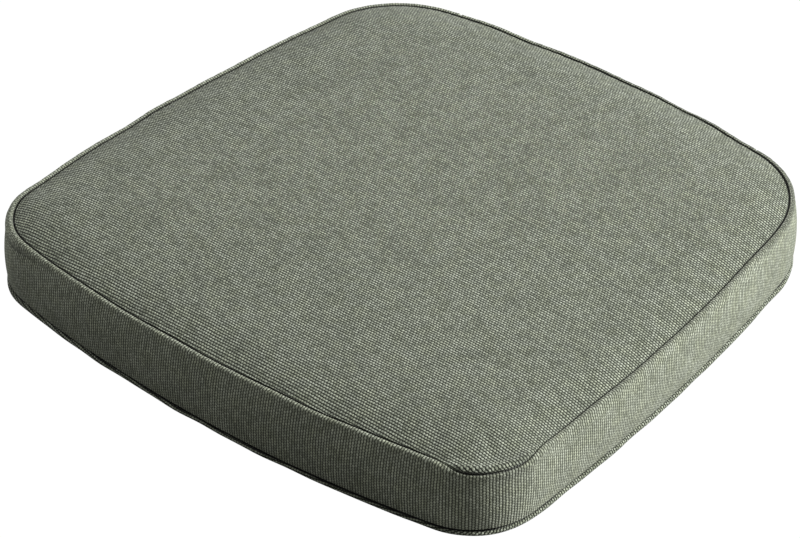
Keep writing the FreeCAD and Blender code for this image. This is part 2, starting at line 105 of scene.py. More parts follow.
def bell(away: np.ndarray, wide: float, power: float = 2) -> np.ndarray:
    """One at zero, falling smoothly to none on both sides over about a width."""
    return np.exp(-np.abs(away / wide) ** power)


def rise(away: np.ndarray, wide: float) -> np.ndarray:
    """None well below zero and one well above it, turning over about a width."""
    return 1 / (1 + np.exp(-away / wide))


@dataclass
class Outline:
    """The pad's plan: eight arcs, smoothed into one closed line and walked by length."""

    width: float
    depth: float
    widest_forward: float = 98 * MM
    front_radius: float = 1080 * MM
    side_radius: float = 1330 * MM
    back_radius: float = 930 * MM
    front_corner: float = 45 * MM
    back_corner: float = 70 * MM
    samples: int = 4096
    softness: float = 5 * MM
    eases: tuple = ()

    def __post_init__(self) -> None:
        """Sample the arcs evenly, starting at the middle of the back edge."""
        line = self._arcs()
        line = np.roll(line, -int(np.argmax(line[:, 1] - 0.2 * np.abs(line[:, 0]))), axis=0)
        line = self._even(self._soften(self._even(line)))
        self.line = line
        ahead = np.roll(line, -1, axis=0)
        self.length = float(np.linalg.norm(ahead - line, axis=1).sum())
        run = ahead - np.roll(line, 1, axis=0)
        out = np.stack([run[:, 1], -run[:, 0]], axis=1)
        self.out = out / np.linalg.norm(out, axis=1)[:, None]
        walked = self.places(self.samples)
        eased = np.zeros(self.samples)
        for x, y, push, wide in self.eases:
            eased += push * bell(self.around(self.nearest(x, y), walked), wide)
        self.line = self.line + self.out * eased[:, None]

    @staticmethod
    def _meeting(one, reach_one, two, reach_two, side: int) -> tuple[float, float]:
        """Point at set distances from two centres, to the right and towards side in y."""
        gap = math.dist(one, two)
        along = (reach_one ** 2 - reach_two ** 2 + gap ** 2) / (2 * gap)
        off = math.sqrt(reach_one ** 2 - along ** 2)
        ux, uy = (two[0] - one[0]) / gap, (two[1] - one[1]) / gap
        spots = [(one[0] + ux * along - uy * off * t, one[1] + uy * along + ux * off * t)
                 for t in (1, -1)]
        return max(spots, key=lambda p: p[0] + side * p[1])

    def _arcs(self) -> np.ndarray:
        """The eight arcs as closely spaced points, anticlockwise seen from above."""
        front = (0.0, -self.depth / 2 + self.front_radius)
        back = (0.0, self.depth / 2 - self.back_radius)
        right = (self.width / 2 - self.side_radius, -self.widest_forward)
        left = (-right[0], right[1])
        near = self._meeting(
            front, self.front_radius - self.front_corner, right, self.side_radius - self.front_corner, -1)
        far = self._meeting(
            back, self.back_radius - self.back_corner, right, self.side_radius - self.back_corner, 1)
        near_left, far_left = (-near[0], near[1]), (-far[0], far[1])
        ring = [
            (front, self.front_radius, near_left, near),
            (right, self.side_radius, near, far),
            (back, self.back_radius, far, far_left),
            (left, self.side_radius, far_left, near_left),
        ]
        corners = [(near, self.front_corner), (far, self.back_corner), (far_left, self.back_corner),
                   (near_left, self.front_corner)]
        pieces = []
        for place, (centre, radius, start, end) in enumerate(ring):
            turn_from = math.atan2(start[1] - centre[1], start[0] - centre[0])
            turn_to = math.atan2(end[1] - centre[1], end[0] - centre[0])
            pieces.append(self._arc(centre, radius, turn_from, turn_to))
            corner, bend = corners[place]
            after = ring[(place + 1) % 4][0]
            next_from = math.atan2(corner[1] - after[1], corner[0] - after[0])
            pieces.append(self._arc(corner, bend, turn_to, next_from))
        return np.concatenate(pieces)

    @staticmethod
    def _arc(centre, radius: float, start: float, end: float) -> np.ndarray:
        """Closely spaced points along one arc, its last point left to the next arc."""
        while end < start:
            end += 2 * math.pi
        count = max(8, int(radius * (end - start) / ARC_STEP))
        turns = np.linspace(start, end, count, endpoint=False)
        return np.stack([centre[0] + radius * np.cos(turns), centre[1] + radius * np.sin(turns)], axis=1)

    def _even(self, line: np.ndarray) -> np.ndarray:
        """Space a closed line's points evenly."""
        ring = np.vstack([line, line[:1]])
        run = np.r_[0, np.cumsum(np.linalg.norm(np.diff(ring, axis=0), axis=1))]
        at = np.linspace(0, run[-1], self.samples, endpoint=False)
        return np.stack([np.interp(at, run, ring[:, k]) for k in (0, 1)], axis=1)

    def _soften(self, line: np.ndarray) -> np.ndarray:
        """Ease the joins between arcs, as cloth does."""
        step = float(np.linalg.norm(line[1] - line[0]))
        waves = np.fft.fftfreq(self.samples, d=step)
        keep = np.exp(-0.5 * (2 * np.pi * waves * self.softness) ** 2)
        return np.stack([np.fft.ifft(np.fft.fft(line[:, k]) * keep).real for k in (0, 1)], axis=1)

    def at(self, run: np.ndarray) -> tuple[np.ndarray, np.ndarray]:
        """Points on the outline and the outward directions there.

        Args:
            run: lengths along the outline from the middle of the back edge, anticlockwise.

        Returns:
            Two arrays with x and y in their last axis.
        """
        place = np.mod(run, self.length) / self.length * self.samples
        low = np.floor(place).astype(int)
        share = (place - low)[..., None]
        one, two = low % self.samples, (low + 1) % self.samples
        point = self.line[one] * (1 - share) + self.line[two] * share
        out = self.out[one] * (1 - share) + self.out[two] * share
        return point, out / np.linalg.norm(out, axis=-1, keepdims=True)

    def places(self, count: int) -> np.ndarray:
        """Lengths of evenly spaced places round the whole outline."""
        return np.arange(count) / count * self.length

    def nearest(self, x: float, y: float) -> float:
        """Length along the outline of the point nearest to a place in plan."""
        place = int(np.argmin((self.line[:, 0] - x) ** 2 + (self.line[:, 1] - y) ** 2))
        return place / self.samples * self.length

    def around(self, place: float, run: np.ndarray) -> np.ndarray:
        """Signed shortest way along the outline from a place to each run."""
        return np.mod(run - place + self.length / 2, self.length) - self.length / 2

    def back_arc(self, run: np.ndarray, outward: float) -> np.ndarray:
        """Places in plan on the plain arc of the back, which the zip's slider follows.

        Args:
            run: lengths along the arc from its middle, rising towards -X.
            outward: distance outside the arc, below zero inside it.

        Returns:
            Rows of x and y.
        """
        turn, reach = run / self.back_radius, self.back_radius + outward
        middle = self.depth / 2 - self.back_radius
        return np.c_[-reach * np.sin(turn), middle + reach * np.cos(turn)]


def ripple(run: np.ndarray, length: float, waves: int, seed: int, finer: int = 5) -> np.ndarray:
    """Smooth closed unevenness of about unit size along the outline.

    Args:
        run: lengths along the outline.
        length: the outline's whole length.
        waves: how many waves the coarsest part has round the pad.
        seed: picks the phases.
        finer: how many finer parts are added.

    Returns:
        An array of the shape of run.
    """
    dice = np.random.default_rng(seed)
    total = np.zeros_like(run)
    for step in range(finer):
        count = waves + int(dice.integers(0, waves)) + step * waves // 2
        total += np.sin(2 * np.pi * (count * run / length + dice.random())) * (0.75 ** step)
    return total / 1.6


@dataclass
class Swell:
    """How far the filling pushes each place of the cover, from a run of cloth."""

    runs: int = 240
    crown_rows: int = 20
    band_rows: int = 8
    most: float = 2.2 * MM
    frames: int = 18
    pressure: float = 4.0
    full_at: float = 97  # the percentile of the push that counts as full
    least_share: float = -0.4
    most_share: float = 1.1
    grid: np.ndarray | None = None

    def at(self, around: np.ndarray, down: np.ndarray) -> np.ndarray:
        """Outward push at places given as shares round the pad and down the section.

        Args:
            around: share of the outline, 0 to 1, wrapping.
            down: 0 at the middle of the top, 1 at the top edge, 2 at the bottom seam.

        Returns:
            Push along the surface's own outward direction, in metres.
        """
        if self.grid is None:
            return np.zeros(np.broadcast(around, down).shape)
        rows = np.where(down < 1, down * self.crown_rows, self.crown_rows + (down - 1) * self.band_rows)
        rows = np.clip(rows, 0, self.grid.shape[0] - 1.001)
        cols = np.mod(around, 1.0) * self.runs
        r0, c0 = np.floor(rows).astype(int), np.floor(cols).astype(int)
        fr, fc = rows - r0, cols - c0
        fr, fc = fr * fr * (3 - 2 * fr), fc * fc * (3 - 2 * fc)
        c1 = (c0 + 1) % self.runs
        c0 = c0 % self.runs
        upper = self.grid[r0, c0] * (1 - fc) + self.grid[r0, c1] * fc
        lower = self.grid[r0 + 1, c0] * (1 - fc) + self.grid[r0 + 1, c1] * fc
        return upper * (1 - fr) + lower * fr

    def run_cloth(self, form: "Form") -> None:
        """Inflate a light cloth of the pad's shape, held at its seams, and keep its push.

        Args:
            form: the shape that the cloth starts from.
        """
        run = form.outline.places(self.runs)
        rows = [form.inner_ring(row / (self.crown_rows - 2), run) for row in range(1, self.crown_rows - 1)]
        zone = form.zone_start
        for share in (0.5, 1.0):
            rows.append(form.place(np.full_like(run, zone * (1 - share)), run, 0 * run))
        for row in range(1, self.band_rows + 1):
            rows.append(form.place(np.full_like(run, form.band_end * row / self.band_rows), run, 0 * run))
        under = rows[-1].copy()
        under[:, 2] = 1 * MM
        rows.append(under)
        points = np.array(rows)
        shell = grid_mesh("cloth_run", points, wrap=True, cap_start=True, cap_end=True)
        count = points.shape[0] * self.runs
        held = [self.crown_rows - 1, self.crown_rows - 1 + self.band_rows, self.crown_rows + self.band_rows]
        group = shell.vertex_groups.new(name="held")
        for row in held:
            group.add(list(range(row * self.runs, (row + 1) * self.runs)), 1.0, "REPLACE")
        group.add([count + 1], 1.0, "REPLACE")
        cloth = shell.modifiers.new("cloth", "CLOTH")
        settings = cloth.settings
        for label, value in CLOTH_RUN.items():
            setattr(settings, label, value)
        settings.uniform_pressure_force = self.pressure
        settings.effector_weights.gravity = 0
        scene = bpy.context.scene
        cloth.point_cache.frame_start, cloth.point_cache.frame_end = 1, self.frames
        for step in range(1, self.frames + 1):
            scene.frame_set(step)
        done = shell.evaluated_get(bpy.context.evaluated_depsgraph_get())
        after = np.zeros(len(done.data.vertices) * 3)
        done.data.vertices.foreach_get("co", after)
        normals = np.zeros(len(shell.data.vertices) * 3)
        shell.data.vertices.foreach_get("normal", normals)
        scene.frame_set(1)
        after, normals = after.reshape(-1, 3), normals.reshape(-1, 3)
        before = points.reshape(-1, 3)
        push = ((after[:count] - before) * normals[:count]).sum(1).reshape(points.shape[:2])
        middle = float(((after[count] - before[:self.runs].mean(0)) * normals[count]).sum())
        rows = np.nan_to_num(np.vstack([np.full(self.runs, middle), push[:-1]]))
        full = max(1e-9, np.percentile(rows, self.full_at))
        self.grid = np.clip(rows / full, self.least_share, self.most_share) * self.most
        bpy.data.objects.remove(shell)


@dataclass
class Form:
    """The filled cover's shape: plan, section, seams and the small unevenness of real cloth."""

    outline: Outline
    crest: float
    zip_half: float
    edge_bend: float = 4.2 * MM
    edge_rise: float = 7.2 * MM
    edge_reach: float = 12.5 * MM
    offset_zone: float = 30 * MM
    mid_rise: float = 1.9 * MM
    mid_slope: float = 0.026
    bulge: float = 1.7 * MM
    askew: float = 2.0 * MM
    seam_low: float = 4.6 * MM
    lip: float = 0.9 * MM
    tuck: float = 2.6 * MM
    gap: float = 0.85 * MM
    ridge: float = 1.05 * MM
    ridge_wide: float = 1.9 * MM
    seam_inset: float = 4.0 * MM
    droop: float = 4.9 * MM
    corner_puff: float = 2.4 * MM
    droop_before: float = 16 * MM
    droop_after: float = 39 * MM
    foot_drop: float = 1.5 * MM
    zip_calm: float = 24 * MM
    zip_fade: float = 6 * MM
    zip_flat: float = 0.75
    zip_hold: float = 0.8
    droop_on: float = 4.4 * MM
    droop_off: float = 6.5 * MM
    back_out: float = 1.1 * MM
    drift: float = 0.35 * MM
    pinched: float = 0.9
    side_shut: float = 0.3
    arc_shut: float = 0.4
    stand: float = 0.4 * MM
    ridge_off: float = 2.5 * MM
    valley: float = 0.42 * MM
    left_valley: float = 1.1 * MM
    left_roll: float = 0.8 * MM
    pucker: float = 0.10 * MM
    wave: float = 0.35 * MM
    fold_below: float = 5.8 * MM
    fold_drop: float = 5.0 * MM
    # strengths of the painted shade beside the top seam: a painted shadow line at the left corner, faint
    # painted shade along the right and back edges
    left_shadow_line: float = 0.8
    right_shade: float = 0.20
    back_shade: float = 0.55
    shade_reach: float = 4.2 * MM
    swell: Swell = field(default_factory=Swell)

    def __post_init__(self) -> None:
        """Work out the places that the seams and the section refer to."""
        half = self.outline.width / 2
        self.near_corner = self.outline.nearest(half, -self.outline.depth / 2)
        self.left_corner = self.outline.nearest(-half, -self.outline.depth / 2)
        self.front_middle = self.outline.nearest(0.25 * half, -self.outline.depth / 2)
        self.right_middle = self.outline.nearest(half, -0.1 * half)
        self.back_right = self.outline.nearest(0.45 * half, self.outline.depth / 2)
        self.quarter = self.edge_bend * math.pi / 4
        self.band_length = self.crest - self.edge_bend - self.seam_low
        self.band_end = self.quarter + self.band_length
        self.zone_start = -(self.offset_zone + self.quarter)

    def around(self, place: float, run: np.ndarray) -> np.ndarray:
        """Signed shortest way along the outline from a place to each run."""
        return self.outline.around(place, run)

    def by(self, place: float, run: np.ndarray, wide: float, power: float = 2) -> np.ndarray:
        """One at a place on the outline, falling to none on both sides over about a width."""
        return bell(self.around(place, run), wide, power)

    def uneven(self, run: np.ndarray, waves: int, seed: int) -> np.ndarray:
        """Unevenness of about unit size round this pad."""
        return ripple(run, self.outline.length, waves, seed)

    def zip_stretch(self, run: np.ndarray) -> np.ndarray:
        """One along the zip at the back, fading to none past its ends."""
        away = np.abs(self.around(0.0, run)) - self.zip_half - self.zip_calm
        return rise(-away, self.zip_fade)

    def seam(self, run: np.ndarray) -> np.ndarray:
        """Where the top seam crosses the section: below zero on top, above it on the band."""
        off = self.around(self.near_corner, run)
        begun = rise(off + self.droop_before, self.droop_on)
        ended = rise(off - self.droop_after, self.droop_off)
        back = self.by(self.back_right, run, 140 * MM, 4)
        drift = self.drift * self.uneven(run, 7, 11)
        return -self.seam_inset + self.back_out * back + self.droop * (begun - ended) + drift

    def open_seam(self, run: np.ndarray) -> np.ndarray:
        """Share of the top seam's full gap: pinched shut where it crosses the edge's middle."""
        off = self.around(self.near_corner, run)
        first = bell(off + self.droop_before, 9 * MM)
        second = bell(off - self.droop_after, 15 * MM)
        side = self.by(self.right_middle, run, 130 * MM, 4)
        arc = bell(off - 11 * MM, 17 * MM)
        crossing = 1 - self.pinched * first - self.pinched * second
        return crossing * (1 - self.side_shut * side) * (1 - self.arc_shut * arc)

    def section(self, q: np.ndarray, run: np.ndarray) -> tuple[np.ndarray, np.ndarray, np.ndarray]:
        """The plain section through the top edge and down the band.

        Args:
            q: length along the section from the top edge's middle, inwards below zero.
            run: lengths along the outline.

        Returns:
            Outward place, height, and the outward angle: 0 on the band and 90 degrees on top.
        """
        r = self.edge_bend
        angle = np.clip(math.pi / 4 - q / r, 0, math.pi / 2)
        inward = np.maximum(-q - self.quarter, 0)
        downward = np.maximum(q - self.quarter, 0)
        share = np.clip(downward / self.band_length, 0, 1)
        full = self.bulge * (1 - self.zip_flat * self.zip_stretch(run))
        out = -r + r * np.cos(angle) - inward + full * np.sin(math.pi * share) ** 0.8
        out = out + (self.stand + self.lean(run)) * share
        high = self.crest - r + r * np.sin(angle) - downward + self.crown(inward)
        return out, high, angle

    def lean(self, run: np.ndarray) -> np.ndarray:
        """How far the foot of the band stands out: the cover sits a little askew on its filling."""
        ahead = self.by(self.front_middle, run, 115 * MM)
        aside = self.by(self.right_middle, run, 125 * MM)
        return self.askew * (ahead - aside)

    def crown(self, inward: np.ndarray) -> np.ndarray:
        """Rise of the top at a distance inwards from its edge, up to the offset zone."""
        near = np.minimum(inward, self.offset_zone)
        soft = near ** 2 / (near + 1.5 * MM)
        return self.edge_rise * (1 - np.exp(-soft / self.edge_reach)) + self.mid_slope * near

    def relief(self, q: np.ndarray, run: np.ndarray) -> np.ndarray:
        """Rolled ridge, valley and small puckers that the top seam gives, along the outward angle."""
        seam = self.seam(run)
        off = q - seam
        on_top = rise(-(seam + 1.5 * MM), 0.7 * MM)
        outer = bell(off - self.ridge_off, self.ridge_wide) * on_top
        inner = bell(off + self.ridge_off, self.ridge_wide) * (1 - on_top)
        left, below = self.left_fold(run), off - self.fold_at(run)
        depth = self.valley + self.left_valley * left + 0.12 * MM * self.uneven(run, 9, 5)
        valley = depth * bell(below, 1.5 * MM) * on_top
        roll = self.left_roll * left * bell(below + 4 * MM, 2.6 * MM)
        pucker = self.pucker * self.uneven(run, 70, 21) * bell(off, 7 * MM, 1)
        wave = self.wave * self.uneven(run, 11, 31) * bell(off, 30 * MM, 1)
        near = self.by(self.near_corner + 12 * MM, run, 36 * MM, 2.5)
        puff = self.corner_puff * near * bell(q + 1.5 * MM, 6 * MM)
        return self.ridge * (outer + 0.5 * inner) - valley + roll + pucker + wave + puff

    def left_fold(self, run: np.ndarray) -> np.ndarray:
        """One at the left corner, where the band folds over its seam allowance, fading to none."""
        return self.by(self.left_corner - 6 * MM, run, 38 * MM, 2.5)

    def fold_at(self, run: np.ndarray) -> np.ndarray:
        """How far below the top seam the edge of its seam allowance shows through the band."""
        return self.fold_below + self.fold_drop * self.left_fold(run)

    def painted_crease_shade(self, q: np.ndarray, run: np.ndarray) -> np.ndarray:
        """How dark the painted shade on the band beside the top seam is, 0 to 1.

        Args:
            q: section places.
            run: lengths along the outline.

        Returns:
            The share: a painted shadow line at the left corner, a faint painted shade along the right and
                back edges.
        """
        off = q - self.seam(run)
        # painted shadow line under the fold at the left corner, and painted shade near the seam along the
        # right and back edges
        line = self.left_shadow_line * self.left_fold(run) * bell(off - self.fold_at(run), 0.75 * MM)
        right = self.by(self.right_middle, run, 150 * MM, 4)
        back = self.by(self.back_right, run, 150 * MM, 4)
        shade = (self.right_shade * right + self.back_shade * back) * rise(self.shade_reach - off, 0.5 * MM)
        return np.clip(line + shade, 0, 1)

    def foot(self, run: np.ndarray) -> np.ndarray:
        """How much lower the bottom seam lies along the front than at the other sides."""
        return self.foot_drop * self.by(self.front_middle, run, 170 * MM, 4)

    def place(self, q: np.ndarray, run: np.ndarray, lift: np.ndarray, shift=0.0) -> np.ndarray:
        """Points of the cover for section places and runs.

        Args:
            q: section places.
            run: lengths along the outline.
            lift: move along the surface's outward direction.
            shift: move along the section, down the band.

        Returns:
            Points with x, y and z in their last axis.
        """
        out, high, angle = self.section(q, run)
        point, normal = self.outline.at(run)
        inside = np.clip(q / self.zone_start, 0, 1)
        down = np.where(q < 0, 1 - inside * 2 / self.swell.crown_rows, 1 + q / self.band_end)
        calm = 1 - self.zip_hold * self.zip_stretch(run) * (q > 0)
        lift = lift + self.swell.at(run / self.outline.length, down) * calm
        out = out + lift * np.cos(angle) + shift * np.sin(angle)
        high = high + lift * np.sin(angle) - shift * np.cos(angle)
        flat = point + normal * out[..., None]
        return np.concatenate([flat, high[..., None]], axis=-1)

    def inner_ring(self, scale: float, run: np.ndarray) -> np.ndarray:
        """A ring of the top inside the offset zone, from its middle (0) to the zone's line (1)."""
        edge = np.full_like(run, self.zone_start)
        out, high, _ = self.section(edge, run)
        point, normal = self.outline.at(run)
        flat = (point + normal * out[..., None]) * scale
        high = high + self.mid_rise * (1 - scale ** 2)
        down = np.full_like(run, scale * (1 - 2 / self.swell.crown_rows))
        high = high + self.swell.at(run / self.outline.length, down)
        return np.concatenate([flat, high[..., None]], axis=-1)


# ---------------------------------------------------------------- mesh helpers


def link(name: str, data: bpy.types.ID) -> bpy.types.Object:
    """A new object with its data, linked to the scene."""
    item = bpy.data.objects.new(name, data)
    bpy.context.scene.collection.objects.link(item)
    return item


def grid_mesh(name: str, points: np.ndarray, wrap: bool, cap_start: bool = False,
              cap_end: bool = False, chart: np.ndarray | None = None,
              painted_fold_shade: np.ndarray | None = None) -> bpy.types.Object:
    """A smooth sheet of quads from rows of points.

    Args:
        name: the piece's name.
        points: rows by columns by 3, columns running anticlockwise and rows outwards and down.
        wrap: whether the last column joins the first.
        cap_start: closes the first row with a fan about its middle.
        cap_end: closes the last row the same way.
        chart: cloth map, rows by columns by 2, in metres.
        painted_fold_shade: painted shade on each row, or each point, darkest deep in a seam's fold, 0 to 1.

    Returns:
        The new object, linked to the scene.
    """
    rows, cols = points.shape[:2]
    verts = points.reshape(-1, 3)
    ids = np.arange(rows * cols).reshape(rows, cols)
    right = np.roll(ids, -1, axis=1) if wrap else ids[:, 1:]
    left = ids if wrap else ids[:, :-1]
    quads = np.stack([left[:-1], left[1:], right[1:], right[:-1]], axis=-1).reshape(-1, 4)
    faces = quads.tolist()
    flat = None if chart is None else chart.reshape(-1, 2)
    extra = []
    for wanted, row in ((cap_start, 0), (cap_end, rows - 1)):
        if not wanted:
            continue
        middle = len(verts) + len(extra)
        extra.append(points[row].mean(axis=0))
        pairs = zip(left[row].tolist(), right[row].tolist())
        faces += [[middle, a, b] if row == 0 else [middle, b, a] for a, b in pairs]
        if flat is not None:
            flat = np.vstack([flat, chart[row].mean(axis=0)])
    if extra:
        verts = np.vstack([verts, np.array(extra)])
    mesh = bpy.data.meshes.new(name)
    mesh.from_pydata(verts.tolist(), [], faces)
    mesh.update()
    if flat is not None:
        lay = mesh.uv_layers.new(name="cloth")
        loops = np.zeros(len(mesh.loops), dtype=np.int64)
        mesh.loops.foreach_get("vertex_index", loops)
        lay.data.foreach_set("uv", flat[loops].astype(np.float32).ravel())
    # painted shade, darkest in the seams' folds, kept as a point attribute that darkens the cloth's colour
    if painted_fold_shade is not None:
        depth = np.zeros(len(verts), dtype=np.float32)
        each = painted_fold_shade if painted_fold_shade.ndim == 2 else np.repeat(painted_fold_shade[:, None], cols, axis=1)
        depth[:rows * cols] = each.ravel()
        mesh.attributes.new("painted_fold_shade", "FLOAT", "POINT").data.foreach_set("value", depth)
    mesh.shade_smooth()
    return link(name, mesh)


def settle(piece: bpy.types.Object) -> bpy.types.Object:
    """Apply a piece's modifiers to its mesh."""
    graph = bpy.context.evaluated_depsgraph_get()
    done = bpy.data.meshes.new_from_object(piece.evaluated_get(graph), depsgraph=graph)
    done.name = piece.name
    piece.modifiers.clear()
    piece.data = done
    return piece


def ply(piece: bpy.types.Object, thick: float) -> bpy.types.Object:
    """Give a cloth surface its thickness on the inner side."""
    wall = piece.modifiers.new("ply", "SOLIDIFY")
    wall.thickness = thick
    wall.offset = -1
    wall.use_rim = True
    return settle(piece)


# ---------------------------------------------------------------- node helpers


class Tree:
    """Short calls for building a node tree."""

    def __init__(self, tree: bpy.types.NodeTree) -> None:
        """Start from an empty tree."""
        self.tree = tree
        tree.nodes.clear()

    def add(self, kind: str, inputs: dict | None = None, **settings) -> bpy.types.Node:
        """A node with its settings and its inputs, which are values or other nodes' outputs."""
        node = self.tree.nodes.new(kind)
        for name, value in settings.items():
            setattr(node, name, value)
        self.feed_all(node, inputs or {})
        return node

    def out(self, kind: str, inputs: dict | None = None, **settings) -> bpy.types.NodeSocket:
        """The first output of a new node."""
        return self.add(kind, inputs, **settings).outputs[0]

    def feed(self, node: bpy.types.Node, key, value) -> None:
        """Set one input, or link it when the value is an output."""
        if isinstance(value, bpy.types.NodeSocket):
            self.tree.links.new(value, node.inputs[key])
        else:
            node.inputs[key].default_value = value

    def feed_all(self, node: bpy.types.Node, inputs: dict) -> None:
        """Set or link several inputs."""
        for key, value in inputs.items():
            self.feed(node, key, value)

    def math(self, operation: str, *values, clamp: bool = False) -> bpy.types.NodeSocket:
        """The result of a Math node."""
        return self.out("ShaderNodeMath", dict(enumerate(values)), operation=operation, use_clamp=clamp)

    def vector(self, operation: str, *values) -> bpy.types.NodeSocket:
        """The result of a Vector Math node."""
        return self.out("ShaderNodeVectorMath", dict(enumerate(values)), operation=operation)

    def swing(self, value, amount: float, base) -> bpy.types.NodeSocket:
        """A base, with a 0 to 1 value's distance from its middle added by an amount."""
        return self.math("MULTIPLY_ADD", self.math("SUBTRACT", value, 0.5), amount, base)

    def bump(self, strength: float, distance: float, height) -> bpy.types.NodeSocket:
        """A surface direction from a height."""
        return self.out("ShaderNodeBump", {"Strength": strength, "Distance": distance, "Height": height})

    def spot(self) -> bpy.types.NodeSocket:
        """The place on the object, in its own coordinates."""
        return self.add("ShaderNodeTexCoord").outputs["Object"]

    def blend(self, share, one, two, kind: str = "MIX") -> bpy.types.NodeSocket:
        """Two colours mixed by a share."""
        node = self.tree.nodes.new("ShaderNodeMix")
        node.data_type, node.blend_type = "RGBA", kind
        self.feed_all(node, {0: share, 6: one, 7: two})
        return node.outputs[2]

    def spread(self, value, low, high, to_low: float = 0.0, to_high: float = 1.0) -> bpy.types.NodeSocket:
        """A value's range smoothly turned into another."""
        return self.out("ShaderNodeMapRange", {0: value, 1: low, 2: high, 3: to_low, 4: to_high},
                        interpolation_type="SMOOTHSTEP")

    def noise(self, where, scale: float, detail: float = 2.0, rough: float = 0.5) -> bpy.types.Node:
        """A noise texture."""
        return self.add("ShaderNodeTexNoise",
                        {"Vector": where, "Scale": scale, "Detail": detail, "Roughness": rough})


def new_group(name: str, inputs: dict, outputs: dict) -> tuple[Tree, bpy.types.Node, bpy.types.Node]:
    """An empty shader node group with named sockets.

    Args:
        name: the group's name.
        inputs: socket names with their default values.
        outputs: socket names with their socket types.

    Returns:
        The tree, its input node and its output node.
    """
    group = bpy.data.node_groups.new(name, "ShaderNodeTree")
    tree = Tree(group)
    for label, value in inputs.items():
        kind = "NodeSocketFloat"
        if hasattr(value, "__len__"):
            kind = "NodeSocketColor" if len(value) == 4 else "NodeSocketVector"
        socket = group.interface.new_socket(label, in_out="INPUT", socket_type=kind)
        socket.default_value = value
    for label, kind in outputs.items():
        group.interface.new_socket(label, in_out="OUTPUT", socket_type=kind)
    return tree, tree.add("NodeGroupInput"), tree.add("NodeGroupOutput")


